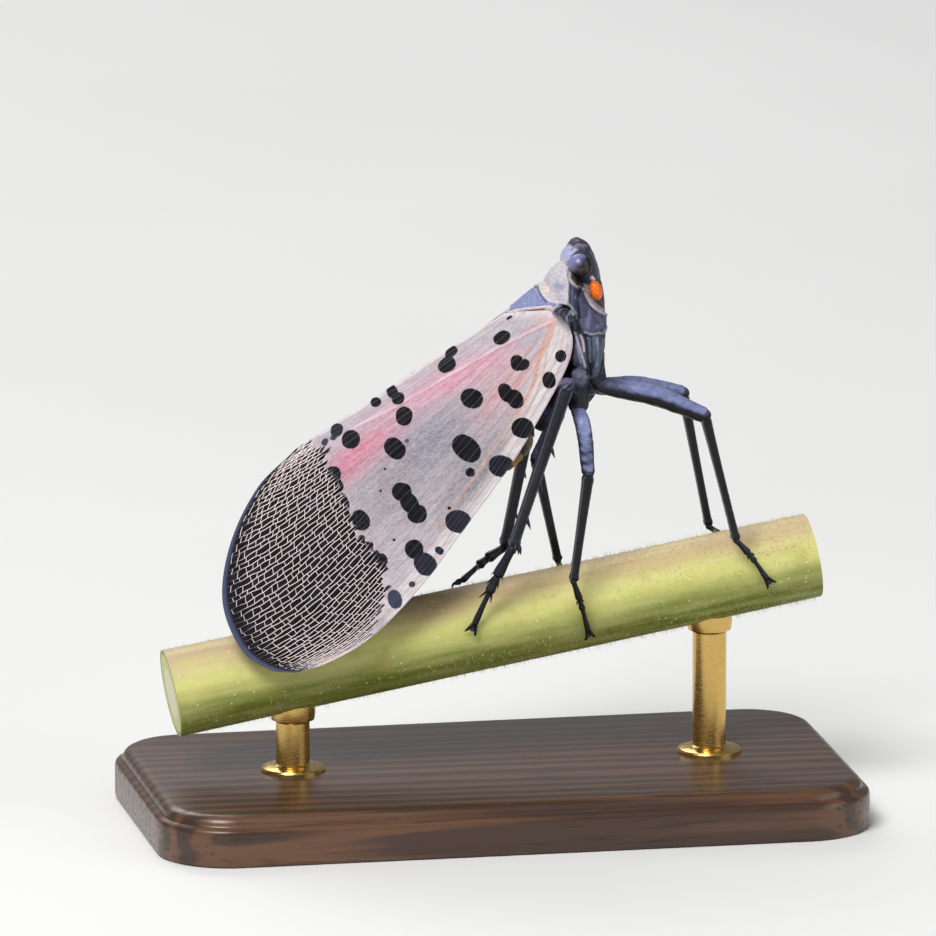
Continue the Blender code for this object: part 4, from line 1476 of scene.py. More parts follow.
@dataclass(frozen=True)
class Face:
    """The eyes, and the orange bulbs below them with their bristles, given for the left side.

    The bulb's radii are along, across and up, before it is tilted back. A bristle ends at reach from the
    bulb's outer side.
    """

    eye: Triple = (2.18, 0.94, 0.85)
    eye_radius: float = 0.55
    eye_shape: Triple = (1.0, 0.98, 1.07)
    bulb: Triple = (1.93, 1.86, -0.29)
    radii: Triple = (0.30, 0.44, 0.47)
    tilt: float = math.radians(14.0)
    bristle: Triple = (0.020, 0.012, 0.005)
    reach: Triple = (-0.25, 0.9, -0.45)

    def build_eye(self, side: Side, finish: Material) -> None:
        """Makes the eye of one side.

        Args:
            side: which side.
            finish: its material.
        """
        radii = np.array(self.eye_shape) * self.eye_radius
        ball = ellipsoid(INSECT.place(self.eye, side), radii, rings=60, sides=90)
        ball.piece(f"eye_{side.word}_ball", finish, "eye", [f"eye_{side.word}"])

    def build_bulb(self, side: Side, finish: Material) -> None:
        """Makes the pitted bulb of one side with its bristle, which is dark.

        Args:
            side: which side.
            finish: its material.
        """
        centre = INSECT.place(self.bulb, side)
        lean, up = math.cos(self.tilt), math.sin(self.tilt)
        axes = np.array([(lean, 0.0, up), (0.0, 1.0, 0.0), (-up, 0.0, lean)])
        knob = ellipsoid(centre, self.radii, axes, 60, 90)
        way = unit(knob.points - centre)
        knob.points = knob.points + way * (0.012 * cloud(way, 0.55, 41, 24))[:, None]
        f, l, d = np.array(self.bulb) + np.array(self.reach)
        end = INSECT.place((f, l + self.radii[1], d), side)
        root = centre - axes[2] * self.radii[2] * 0.8 + LEFTWARD * side.value * self.radii[1] * 0.45
        hair = sweep([root, root * 0.4 + end * 0.6, end], self.bristle, hint=(1.0, 0.0, 0.0), count=16,
                     sides=8)
        made = Sheet.joined([knob, hair])
        made.fields = {"dark": np.concatenate([np.zeros(len(knob.points)), np.full(len(hair.points), 0.6)])}
        made.piece(f"antenna_{side.word}_bulb", finish, "orange_pedicel", [f"antenna_{side.word}"])

    def build(self, eye_finish: Material, bulb_finish: Material) -> None:
        """Makes both eyes and both bulbs.

        Args:
            eye_finish: the eyes' material.
            bulb_finish: the bulbs' material.
        """
        for side in Side:
            self.build_eye(side, eye_finish)
            self.build_bulb(side, bulb_finish)


FACE = Face()


@dataclass
class BodySkin:
    """The skin of head, collar, thorax, hips and beak in one piece.

    A level of head, collar or neck is d, front f, back f and half width. A section of the thorax is f, top d,
    bottom d, half width and level of the widest place. Limbs are the left side's hips and folds: path, radii
    and radii the other way. Knobs are balls: place, radii, rings and points in a ring.
    """

    cell: float = 0.05
    head: tuple[tuple[float, ...], ...] = (
        (1.76, 2.86, 2.52, 0.16), (1.62, 3.02, 2.22, 0.5), (1.40, 3.12, 1.86, 0.8), (1.05, 3.18, 1.72, 1.06),
        (0.4, 2.92, 1.66, 1.26), (-0.3, 2.56, 1.40, 1.22), (-1.0, 2.20, 1.00, 1.05), (-2.0, 1.44, 0.46, 0.8),
        (-2.7, 0.84, 0.02, 0.58), (-3.15, 0.42, -0.22, 0.36),
    )
    collar: tuple[tuple[float, ...], ...] = (
        (1.32, 1.66, 1.00, 0.35), (1.14, 1.78, 0.60, 0.85), (0.82, 1.74, 0.24, 1.5), (0.42, 1.62, 0.14, 2.05),
        (-0.2, 1.36, 0.22, 2.24), (-0.9, 0.98, 0.2, 2.12), (-1.5, 0.76, 0.1, 1.9), (-1.8, 0.60, 0.06, 1.6),
    )
    neck: tuple[tuple[float, ...], ...] = (
        (0.9, 2.0, 0.4, 0.5), (0.5, 2.1, 0.2, 0.9), (-0.8, 1.7, 0.0, 0.95), (-1.8, 1.0, -0.3, 0.8),
        (-2.6, 0.4, -0.8, 0.5),
    )
    thorax: tuple[tuple[float, ...], ...] = (
        (0.62, 0.86, -1.0, 1.2, 0.1), (0.36, 1.10, -1.4, 1.6, 0.1), (0.0, 1.22, -1.8, 1.85, 0.1),
        (-0.8, 1.28, -2.5, 2.05, -0.1), (-1.71, 1.30, -2.9, 2.05, -0.4), (-2.6, 0.9, -3.05, 2.0, -0.7),
        (-3.6, 0.7, -3.05, 1.9, -0.9), (-4.5, 0.3, -2.95, 1.7, -1.1), (-4.95, -0.1, -2.7, 1.4, -1.3),
    )
    beak: tuple[Triple, ...] = ((0.1, 0, -3.0), (-0.15, 0, -3.38), (-0.62, 0, -3.82), (-1.5, 0, -4.3),
                                (-2.5, 0, -4.5))
    beak_radii: tuple[float, ...] = (0.3, 0.28, 0.27, 0.24, 0.16)
    limbs: tuple[tuple, ...] = (
        (((0.3, 1.0, -1.2), (0.08, 1.25, -2.1), (-0.48, 1.38, -3.0), (-1.05, 1.5, -3.95)),
         (0.6, 0.60, 0.50, 0.42), None),
        (((-1.3, 1.0, -2.3), (-1.65, 1.3, -3.1), (-2.3, 1.75, -3.8), (-2.6, 1.95, -4.1)),
         (0.72, 0.62, 0.50, 0.36), None),
        (((-0.9, 0.9, -2.6), (-1.25, 1.1, -3.5), (-1.7, 1.25, -4.0)), (0.6, 0.5, 0.3), None),
        (((-3.6, 0.9, -2.6), (-4.1, 1.2, -3.4), (-4.36, 1.42, -3.68)), (0.6, 0.5, 0.38), None),
        (((0.9, 1.1, -0.9), (0.45, 1.75, -1.1), (-0.3, 2.0, -1.7), (-1.2, 1.95, -2.3)),
         (0.45, 0.5, 0.55, 0.5), (0.5, 0.7, 0.8, 0.6)),
    )
    knobs: tuple[tuple, ...] = (
        ((-1.29, 2.1, -2.74), (0.44, 0.44, 0.44), 20, 28), ((-0.95, 2.0, -2.45), (0.38, 0.38, 0.38), 20, 28),
        ((-1.45, 2.35, -2.55), (0.28, 0.28, 0.28), 20, 28), ((-0.02, 2.78, 0.02), (0.48, 0.34, 0.48), 24, 36),
        ((-0.25, 2.3, -0.35), (0.62, 0.55, 0.62), 24, 36),
    )
    hip: Pair = (581.0, 376.0)
    hip_size: Pair = (12.0, 13.0)
    plates: tuple[Plate, ...] = (
        Plate(((564, 230), (600, 230), (600, 262), (588, 250), (578, 250), (570, 246)), (60, 53, 72), 2.0,
              0.4, 0.5),
        Plate(((555, 263), (556, 250), (568, 244), (577, 250), (572, 256), (568, 263), (566, 270)),
              (190, 196, 226), 1.8, 0.5, 0.9),
        Plate(((572, 365), (586, 362), (591, 372), (588, 386), (573, 388)), (104, 104, 128), 1.8, 0.42, 0.6),
        Plate(((550, 250), (562, 257), (568, 264), (567, 275), (570, 285), (570, 305), (556, 303.5),
              (548, 300.5), (541, 291.5), (536, 283), (530, 270)), (214, 205, 212), 1.0, 0.55, 0.2, 0.03),
        Plate(((538, 284), (541.5, 293), (549, 302), (556, 304.5), (556, 312), (520, 318), (490, 330),
              (490, 300), (525, 276)), (138, 146, 192), 1.0, 0.55, 0.5),
        Plate(((583, 283), (589, 286), (590, 296), (597, 304), (605, 309), (605, 314), (595, 309),
              (587, 300)), (176, 160, 168), 1.2, 0.55, 0.3),
        Plate(((498, 315.5), (520, 311.2), (536, 309.6), (554, 307.6), (557, 318), (520, 324), (490, 332)),
              (226, 200, 196), 0.7, 0.5, 0.1),
        Plate(((570, 280), (579, 284), (580.5, 320), (571, 320)), (50, 58, 82), 1.2, 0.4, 0.4, -0.06),
        Plate(((581, 290), (586, 300), (595, 308), (605, 313), (606, 322), (602, 331), (594, 335),
              (586, 333), (580.5, 325)), (74, 77, 106), 1.0, 0.5, 0.55, 0.05),
        Plate(((589, 336), (604, 336), (603, 372), (592, 378)), (86, 98, 122), 1.2, 0.45, 0.6),
        Plate(((574, 336), (588, 336), (590, 372), (572, 368)), (62, 62, 80), 1.2, 0.45, 0.5),
        Plate(((556, 304), (569, 303), (577, 312), (575, 332), (560, 330), (554, 322)), (52, 54, 74), 1.2,
              0.4, 0.5),
    )
    ridges: tuple[Ridge, ...] = (
        Ridge(((538.5, 284), (541, 291.5), (548, 300.5), (556, 303.5), (569, 304.5)), 1.0, (238, 232, 234),
              0.05, 0.5),
        Ridge(((535.5, 283), (538.8, 293), (547, 302.5)), 0.8, (38, 38, 54), -0.03),
        Ridge(((500, 314.6), (520, 310.6), (536, 309), (552, 307.2)), 0.8, (238, 230, 228), 0.07),
        Ridge(((510, 315), (524, 312.4), (536, 311.4), (545, 310.8)), 0.5, (96, 62, 58), -0.04),
        Ridge(((558, 287), (562, 288)), 4.0, (152, 158, 186), 0.0, 0.55, 0.4),
        Ridge(((543, 286), (546, 293)), 3.5, (230, 208, 198), 0.0, 0.55, 0.0),
        Ridge(((569, 272), (570.5, 280), (576, 285), (582, 288)), 1.4, (188, 182, 178), 0.04),
        Ridge(((583, 288), (587, 298), (595, 308), (605, 313.5)), 1.1, (226, 218, 218), 0.07),
        Ridge(((580.5, 288), (580, 305), (580.5, 328), (586, 336), (594, 337.5)), 0.9, (20, 20, 28), -0.07),
        Ridge(((605.5, 322), (601.5, 331), (594, 334.8), (587, 333.2)), 0.9, (168, 172, 188), 0.05),
        Ridge(((594, 241), (600, 262), (603.5, 285), (606, 320), (604.5, 350), (600, 378)), 1.8, (22, 24,
              32), 0.0, 0.35),
        Ridge(((577, 334), (582, 350), (587, 367)), 1.1, (198, 192, 212), 0.08, 0.5, 0.6),
        Ridge(((582.5, 336), (585, 343), (586, 352)), 0.9, (222, 210, 214), 0.07, 0.5, 0.4),
        Ridge(((578.5, 345), (581, 356), (583, 364)), 0.7, (150, 152, 178), 0.04, 0.5, 0.5),
        Ridge(((574.8, 326), (574, 345), (572.5, 364)), 1.3, (10, 10, 14), -0.10, 0.3),
        Ridge(((588, 336), (590, 352), (590.5, 374)), 1.1, (10, 10, 16), -0.10, 0.3),
        Ridge(((598, 338), (598.5, 350), (597, 366)), 0.8, (144, 154, 178), 0.06, 0.5, 0.6),
        Ridge(((593.5, 338), (594, 352), (593, 368)), 0.7, (30, 34, 48), -0.05, 0.4),
        Ridge(((602, 336), (601.5, 352), (599, 370)), 0.7, (92, 98, 120), 0.04, 0.4, 0.3),
        # Painted highlight: a small white glint above the orange bulb.
        Ridge(((592, 277.6), (593.4, 279.2)), 1.5, (255, 255, 255), 0.10, 0.2),
        Ridge(((571.5, 270), (575, 279), (582, 284.5)), 1.6, (70, 56, 52), 0.03, 0.35),
        Ridge(((582, 284.5), (580.6, 288)), 1.1, (120, 62, 40), 0.02, 0.4),
        Ridge(((590, 252), (595, 264), (597.5, 276)), 1.3, (92, 96, 124), 0.05, 0.35, 0.4),
        Ridge(((571, 250), (577, 245), (586, 246)), 1.0, (118, 116, 150), 0.05, 0.45, 0.5),
        Ridge(((565, 268), (568.5, 258), (575, 251)), 0.9, (196, 196, 222), 0.05, 0.5, 0.5),
        Ridge(((574, 288), (573.5, 300), (574, 314)), 1.0, (84, 98, 126), 0.05, 0.4, 0.3),
        Ridge(((587, 305), (590, 316), (589, 328)), 1.8, (112, 114, 146), 0.03, 0.5, 0.5),
        Ridge(((597, 316), (600, 322), (597, 328)), 1.6, (118, 112, 140), 0.03, 0.5, 0.5),
        Ridge(((554, 312), (559, 305.5), (566, 303.5), (573, 309), (577, 316)), 1.2, (206, 206, 222), 0.06,
              0.5, 0.3),
        Ridge(((553.5, 318), (556, 310), (562, 307)), 1.0, (190, 190, 214), 0.05, 0.5, 0.3),
        Ridge(((560, 322), (568, 311), (572, 318)), 1.2, (14, 14, 20), -0.08, 0.3),
        Ridge(((556, 336), (560, 327), (563, 321)), 0.8, (214, 196, 200), 0.03, 0.4),
        Ridge(((571, 330), (570, 320), (574, 314)), 0.8, (150, 152, 172), 0.04, 0.5, 0.4),
    )

    def volumes(self) -> list[Sheet]:
        """The closed shapes that the skin is fused from.

        Returns:
            The shapes, which cross one another.
        """
        made = [stacked(self.head, 2.6), stacked(self.collar, 2.6), lofted(self.thorax, 2.1, 90, 120),
                stacked(self.neck, 2.2), sweep(INSECT.place(self.beak), self.beak_radii, count=50)]
        for side in Side:
            made += [sweep(INSECT.place(path, side), across, deep) for path, across, deep in self.limbs]
            made += [ellipsoid(INSECT.place(place, side), radii, rings=rings, sides=sides)
                     for place, radii, rings, sides in self.knobs]
        return made

    def build(self, finish: Material) -> None:
        """Fuses, tucks in, sculpts and paints the skin.

        Args:
            finish: its material.
        """
        skin = fused(self.volumes(), self.cell)
        for side in Side:
            skin.points = Forewing(side).tuck(skin.points)
        count = len(skin.points)
        folded = np.column_stack([skin.points[:, 0], np.abs(skin.points[:, 1]), skin.points[:, 2]])
        pixels = PHOTO.pixels(folded * np.array([1, -1, 1]))
        rise = 0.012 * cloud(skin.points, 0.7, 31) + 0.012 * cloud(skin.points, 0.3, 32)
        off = (pixels - np.array(self.hip)) / np.array(self.hip_size)
        lumpy = ramp(np.linalg.norm(off, axis=1), 1.2, 0.6)
        rise += 0.07 * lumpy * cloud(skin.points, 0.34, 33)
        tint = np.tile(rgb(42, 44, 56), (count, 1))
        rough, bloom = np.full(count, 0.48), np.full(count, 0.3)
        for mark in (*self.plates, *self.ridges):
            share = mark.share(pixels)
            tint = laid(tint, share, mark.colour)
            rough = rough * (1 - share) + mark.rough * share
            bloom = bloom * (1 - share) + mark.bloom * share
            rise += mark.rise * share
        for place, radius, ring in ((FACE.eye, FACE.eye_radius, 0.07), (FACE.bulb, 0.44, 0.06)):
            apart = np.linalg.norm(folded - INSECT.place(place), axis=1) - radius
            rise += ring * bell(apart - 0.06, 0.06)
        socket = bell(np.maximum(np.linalg.norm(folded - INSECT.place(FACE.bulb), axis=1) - 0.5, 0), 0.08)
        tint = laid(tint, socket, (30, 18, 16))
        under = ramp(INSECT.read(skin.points)[2], -2.9, -3.5)
        skin.raised(rise)
        skin.fields = {"tint": tint * (1 - 0.5 * under[:, None]), "rough": rough,
                       "bloom": bloom * (1 - socket)}
        skin.piece("body_skin", finish, "waxy_grey",
                   ["head", "pronotum", "thorax", "tegula_left", "tegula_right", "beak"])


@dataclass
class Abdomen:
    """The ringed abdomen under the wings, yellow with black bands.

    A section is f, top d, bottom d, half width and level of the widest place. A ring is as long as ring, and
    a groove's half width is a share of that.
    """

    sections: tuple[tuple[float, ...], ...] = (
        (-4.5, -0.6, -3.2, 1.1, -1.9), (-5.2, -0.35, -4.15, 1.5, -2.4), (-6.4, -0.5, -4.3, 1.6, -2.7),
        (-8.0, -0.8, -4.1, 1.5, -2.75), (-9.6, -1.3, -3.8, 1.3, -2.75), (-11.0, -1.9, -3.4, 0.9, -2.75),
        (-11.9, -2.4, -3.0, 0.3, -2.7),
    )
    ring: float = 1.05
    groove: float = 0.07

    def build(self, finish: Material) -> None:
        """Lofts the abdomen, presses a groove between its rings and bands it.

        Args:
            finish: its material.
        """
        made = lofted(self.sections, 2.2, 260, 120)
        f, l, d = INSECT.read(made.points)
        phase = (f + 4.8) / self.ring % 1.0
        keel = bell(l, 0.5) * ramp(d, -2.6, -3.6)
        made.raised(0.05 * keel - 0.07 * bell(np.minimum(phase, 1 - phase), self.groove))
        band = ramp(phase, 0.42, 0.34) * ramp(phase, -0.02, 0.06)
        side_spot = ramp(np.abs(np.abs(l) - 0.95), 0.28, 0.14) * ramp(d, -2.0, -2.6)
        black = np.maximum(band * ramp(d, -4.1, -3.0), band * side_spot)
        black = np.clip(black + ramp(f, -10.6, -11.2) + 0.75 * ramp(f, -6.6, -5.6), 0, 1)
        count = len(made.points)
        made.fields = {"tint": laid(np.tile(rgb(176, 122, 40), (count, 1)), black, (24, 20, 20)),
                       "rough": np.full(count, 0.5), "bloom": np.full(count, 0.15)}
        made.piece("abdomen_skin", finish, "abdomen", ["abdomen"])


class LegPair(Enum):
    """The three pairs of legs."""

    FRONT = "front"
    MIDDLE = "middle"
    HIND = "hind"


@dataclass(frozen=True)
class Perch:
    """The axis of the stem: a straight line that slopes up forwards, with its two ends along it."""

    x: float = 0.46
    z: float = 9.10
    slope: float = math.radians(9.8)
    radius: float = 2.03
    back: float = -16.0
    front: float = 15.2

    def axis(self, along: Array | float) -> Array:
        """World places along the axis.

        Args:
            along: how far along it they lie.

        Returns:
            The places.
        """
        along = np.asarray(along, float)
        c, s = math.cos(self.slope), math.sin(self.slope)
        return np.stack([self.x + along * c, 0 * along, self.z + along * s], -1)

    def out(self, turn: Array | float) -> Array:
        """Directions out of the bark at angles from its top round to the left."""
        up = np.array([-math.sin(self.slope), 0.0, math.cos(self.slope)])
        return np.cos(turn)[..., None] * up + np.sin(turn)[..., None] * LEFTWARD


PERCH = Perch()


@dataclass
class Leg:
    """One leg: hip, thigh, shin and a foot of three joints with two claws, in one piece.

    Places are f, l and d for the left leg, but the toe's is how far along the stem it stands and degrees
    round it. The shin's radii are across and deep. Thorns are shares of a hind shin, and crown is how many
    thorns ring its ankle.
    """

    pair: LegPair
    side: Side
    thigh: tuple[Triple, ...]
    thigh_radii: tuple[float, ...]
    knee: Triple
    ankle: Triple
    toe: Pair
    shin: tuple[Pair, ...]
    foot: float
    # How much waxy bloom and painted highlight lies on the thigh's upper faces.
    bloom: float
    thorns: Triple = (0.36, 0.58, 0.80)
    crown: int = 7
    bristles: int = 170

    @property
    def hind(self) -> bool:
        """Whether it is a hind leg."""
        return self.pair is LegPair.HIND

    def put(self, points: Sequence) -> Array:
        """World place of points given for the left leg."""
        return INSECT.place(points, self.side)

    def dress(self, sheet: Sheet, colour: Rgb, bloom: float, rough: float = 0.42,
              top: Rgb = (128, 134, 176)) -> Sheet:
        """Paints a part, with a pale coat on its upper faces that is partly waxy bloom and partly a painted
        highlight.

        Args:
            sheet: the part.
            colour: its colour.
            bloom: how much of the waxy bloom and painted highlight lies on its upper faces.
            rough: its roughness.
            top: the colour of the bloom and painted highlight.

        Returns:
            The same part, with its fields.
        """
        out = normals(sheet)
        count = len(sheet.points)
        # Painted highlight: faces turned up and outwards, where the light falls, turn paler together with the
        # waxy bloom.
        up = ramp(out[:, 2] * 0.9 + np.abs(out[:, 1]) * 0.28 - out[:, 0] * 0.1, 0.12, 0.62)
        up = np.clip(up + 0.22 * cloud(sheet.points, 0.5, 51) * up ** 0.5, 0, 1) * bloom
        sheet.fields = {"tint": laid(np.tile(rgb(*colour), (count, 1)), up, top),
                        "rough": np.full(count, rough), "bloom": up * up * 0.9}
        return sheet

    def spike(self, path: Sequence, radii: Sequence[float], colour: Rgb, bloom: float, rough: float = 0.3,
              count: int = 14, sides: int = 12) -> Sheet:
        """A painted thorn, tooth or claw along a path: what sweep and dress take."""
        return self.dress(sweep(path, radii, count=count, sides=sides), colour, bloom, rough)

    def thigh_part(self) -> list[Sheet]:
        """The thigh, a little flattened, with a keel along its upper and lower edge, and the knee's knob.

        Returns:
            The two painted parts.
        """
        radii, knee, path = self.thigh_radii, self.put(self.knee), self.put(self.thigh)
        path[-1] = knee + unit(knee - path[-2]) * radii[-1] * 0.45
        main = sweep(path, [r * 0.84 for r in radii], radii, count=90, sides=36, square=2.3,
                     keels=((90, 14, 0.10), (-90, 14, 0.10), (0, 12, 0.05), (180, 12, 0.05)))
        main.raised(0.015 * cloud(main.points, 0.45, 52) + 0.005 * cloud(main.points, 0.16, 53))
        self.dress(main, (20, 20, 27), self.bloom, 0.34, (142, 150, 196))
        if self.pair is LegPair.FRONT:
            hip = ramp(np.linalg.norm(main.points - path[2], axis=1), 1.7, 0.5)
            hip = np.maximum(hip, ramp(INSECT.read(main.points)[2], -4.6, -3.6))
            main.fields["tint"] = laid(main.fields["tint"], 0.75 * hip, (30, 31, 40))
            main.fields["bloom"] *= 1 - 0.7 * hip
        size, lumps = (radii[-1] * 1.04, 0.06) if self.hind else (radii[-1] * 0.93, 0.01)
        knob = ellipsoid(knee, (size, size * 0.9, size), rings=40, sides=56)
        knob.raised(lumps * cloud(knob.points, 0.30, 54))
        if self.hind:
            return [main, self.dress(knob, (38, 36, 44), 0.7, 0.36, (126, 124, 152))]
        return [main, self.dress(knob, (20, 20, 24), self.bloom * 0.3, 0.36)]

    def shin_part(self) -> list[Sheet]:
        """The shin, squarish with four keels that each carry a painted highlight line, its ankle, thorns and
        bristles.

        Returns:
            The painted parts.
        """
        knee, ankle = self.put(self.knee), self.put(self.ankle)
        shares = np.array([0.0, 0.05, 0.12, 0.5, 0.90, 0.96, 1.0])
        taper = np.array([0.90, 1.12, 1.04, 0.92, 0.96, 1.16, 0.85])
        across, deep = columns_at(shares, np.linspace(0, 1, len(self.shin)), np.array(self.shin)).T
        line = knee * (1 - shares[:, None]) + ankle * shares[:, None]
        main = sweep(line, across * taper, deep * taper, count=110, sides=80, square=2.6,
                     keels=[(angle, 8, 0.20) for angle in (45, 135, -45, -135)])
        # Painted highlight: a pale line along each of the four keels.
        edge = 0.5 * bell(main.fields["turn"] % (math.pi / 2) - math.pi / 4, math.radians(6))
        self.dress(main, (9, 8, 10), 0.40 if self.hind else 0.20, 0.2, (98, 100, 120))
        main.fields["tint"] = laid(main.fields["tint"], edge, (126, 124, 142))
        joint = ellipsoid(ankle, (self.foot * 0.95,) * 3, rings=20, sides=28)
        return [main, self.dress(joint, (22, 21, 26), 0.2), *self.thorn_parts(),
                self.bristle_part(float(min(across)))]

    def shin_ways(self) -> tuple[Array, Array, Array]:
        """Works out how the shin lies.

        Returns:
            The directions down it, away from the body, and forwards, square to both.
        """
        down, out = unit(self.put(self.ankle) - self.put(self.knee)), LEFTWARD * self.side.value
        fore = unit(np.cross(down, out))
        return down, out, fore * np.sign(fore[0])

    def thorn_parts(self) -> list[Sheet]:
        """The thorns down a hind shin and round its ankle.

        Returns:
            The painted thorns, none on the other legs.
        """
        if not self.hind:
            return []
        knee, ankle, parts = self.put(self.knee), self.put(self.ankle), []
        down, out, fore = self.shin_ways()
        for share in self.thorns:
            root = knee * (1 - share) + ankle * share
            tip = root + fore * 0.46 + out * 0.35 + down * 0.50
            parts.append(self.spike([root + fore * 0.08, root * 0.45 + tip * 0.55 + fore * 0.05, tip],
                                    [0.15, 0.08, 0.012], (18, 16, 18), 0.1))
        root = knee * 0.035 + ankle * 0.965
        for turn in np.radians(np.linspace(-80, 80, self.crown)):
            aim = fore * math.cos(turn) + out * math.sin(turn)
            path = [root + aim * 0.1, root + aim * 0.34 + down * 0.2, root + aim * 0.48 + down * 0.46]
            parts.append(self.spike(path, [0.13, 0.085, 0.012], (18, 16, 18), 0.1, count=12, sides=10))
        return parts

    def bristle_part(self, thick: float) -> Sheet:
        """Short bristles all round the shin, leaning down it.

        Args:
            thick: the shin's least radius.

        Returns:
            The painted bristles.
        """
        knee, ankle, count = self.put(self.knee), self.put(self.ankle), self.bristles
        down, out, fore = self.shin_ways()
        draw = np.random.default_rng(seed_of(self.pair.value + self.side.name))
        share = draw.uniform(0.04, 0.98, count)[:, None]
        turn = draw.uniform(0, 2 * math.pi, count)[:, None]
        aim = fore * np.cos(turn) + out * np.sin(turn)
        root = knee * (1 - share) + ankle * share + aim * (thick * 0.8)
        tips = root + aim * 0.10 + down * 0.16 * draw.uniform(0.7, 1.2, (count, 1))
        return self.dress(needles(root, tips, 0.011), (30, 28, 30), 0.0, 0.5)

    def foot_part(self) -> list[Sheet]:
        """Three foot joints, each swelling to its end, two hooked claws, teeth and the pad between the claws.

        Returns:
            The painted parts.
        """
        along, turn = self.toe
        ankle, out = self.put(self.ankle), PERCH.out(math.radians(turn * self.side.value))
        toe = PERCH.axis(along) + out * (PERCH.radius + 0.30)
        down = unit(toe - ankle)
        ahead = unit(down - out * (down @ out))
        across = np.cross(ahead, out)

        def bend(share: float) -> Array:
            """A place on the sagging line from ankle to toe."""
            return ankle * (1 - share) + toe * share + SAG * math.sin(math.pi * share)

        r, parts = self.foot, []
        widths = (1.3, 1.2, 0.78) if self.hind else (1.0, 0.9, 0.78)
        for (start, stop), wide in zip(((-0.03, 0.42), (0.38, 0.62), (0.57, 1.0)), widths):
            places = [bend(start + (stop - start) * t) for t in (0.0, 0.4, 0.8, 1.0)]
            joint = sweep(places, [r * wide * t for t in (0.8, 0.82, 1.06, 1.0)], count=26, square=2.3)
            parts.append(self.dress(joint, (14, 12, 15), 0.3, 0.25, (90, 94, 116)))
        for spread in (1, -1):
            path = [toe + ahead * a + across * spread * b + out * c + down * e for a, b, c, e in CLAW]
            parts.append(self.spike(path, [r * 0.5, r * 0.42, r * 0.26, 0.012], (16, 14, 16), 0.0, 0.25, 20))
        big, rows = (1.9, (0.30, 0.42, 0.60)) if self.hind else (1.0, (0.42,))
        for k in (-1, 0, 1):
            for share in rows:
                root = bend(share) + across * r * 0.6 * k
                aim = (down * 0.24 - out * 0.10 + across * 0.10 * k) * big
                parts.append(self.spike([root, root + aim * 0.55, root + aim], [r * 0.36, r * 0.22, 0.012],
                                        (12, 10, 12), 0.0, count=8, sides=8))
        middle = toe + ahead * 0.16 - out * 0.05
        pad = ellipsoid(middle, (0.16, 0.13, 0.09), np.array([ahead, across, out]), 12, 16)
        return [*parts, self.dress(pad, (60, 56, 60), 0.2)]

    def build(self, finish: Material) -> None:
        """Makes the leg.

        Args:
            finish: its material.
        """
        pair, word = self.pair.value, self.side.word
        made = Sheet.joined([*self.thigh_part(), *self.shin_part(), *self.foot_part()])
        made.piece(f"{pair}_leg_{word}", finish, "black_cuticle",
                   [f"{pair}_{part}_{word}" for part in ("femur", "tibia", "tarsus")], 40.0)


SAG = np.array([0.0, 0.0, 0.125])
CLAW = ((0.0, 0.05, 0.0, -0.12), (0.22, 0.16, 0.04, 0.0), (0.38, 0.24, -0.06, 0.0), (0.44, 0.25, -0.24, 0.0))


def seed_of(text: str) -> int:
    """A fixed number for a text: its letters' codes, each weighted by its place."""
    return sum((k + 1) * ord(letter) for k, letter in enumerate(text))


def legs() -> list[Leg]:
    """The six legs in the photo's stance.

    Returns:
        Both front, both middle and both hind legs.
    """
    right, left = Side.RIGHT, Side.LEFT
    front = {
        right: ((0.02, 1.30, -2.25), (-0.55, 1.42, -3.10), (-0.88, 1.55, -3.88), (-0.40, 1.72, -4.66),
                (0.64, 2.12, -6.05), (1.50, 2.44, -7.82)),
        left: ((0.02, 1.30, -2.25), (-0.65, 1.42, -3.15), (-1.24, 1.55, -4.20), (-0.86, 1.72, -5.03),
               (0.34, 2.12, -6.33), (1.50, 2.44, -7.85)),
    }
    middle = {
        right: ((-1.85, 1.4, -3.1), (-2.4, 1.8, -3.75), (-2.95, 2.6, -4.66), (-4.0, 2.95, -5.9)),
        left: ((-1.85, 1.4, -3.1), (-2.4, 1.8, -3.75), (-3.5, 2.3, -4.75), (-5.2, 2.6, -5.5)),
    }
    hind = ((-4.34, 1.42, -3.68), (-3.75, 1.68, -3.37), (-2.9, 1.97, -2.95), (-1.83, 2.22, -2.42))
    fronts = [Leg(LegPair.FRONT, side, front[side], (0.34, 0.38, 0.36, 0.40, 0.44, 0.33), (1.66, 2.5, -8.2),
                  ankle, toe, ((0.20, 0.23), (0.185, 0.21), (0.175, 0.19)), 0.165, 0.85)
              for side, ankle, toe in ((right, (-1.27, 2.4, -13.79), (12.5, 92.0)),
                                       (left, (-1.75, 2.4, -13.85), (12.1, 86.0)))]
    middles = [Leg(LegPair.MIDDLE, side, middle[side], (0.28, 0.30, 0.34, 0.28), knee, ankle, toe,
                   ((0.20, 0.25), (0.19, 0.23), (0.17, 0.20)), 0.165, 1.0)
               for side, knee, ankle, toe in ((right, (-4.2, 3.0, -6.25), (-8.16, 2.9, -9.62), (3.7, 110.0)),
                                              (left, (-5.55, 2.62, -5.66), (-8.07, 2.7, -10.1), (3.6, 80.0)))]
    hinds = [Leg(LegPair.HIND, side, hind, (0.36, 0.38, 0.42, 0.36), (-2.08, 3.0, -2.38), ankle, toe,
                 ((0.24, 0.30), (0.24, 0.29), (0.20, 0.24)), 0.19, 0.8)
             for side, ankle, toe in ((right, (-9.16, 3.0, -6.35), (-1.6, 72.0)),
                                      (left, (-9.48, 2.5, -7.73), (-1.33, 30.0)))]
    return [*fronts, *middles, *hinds]


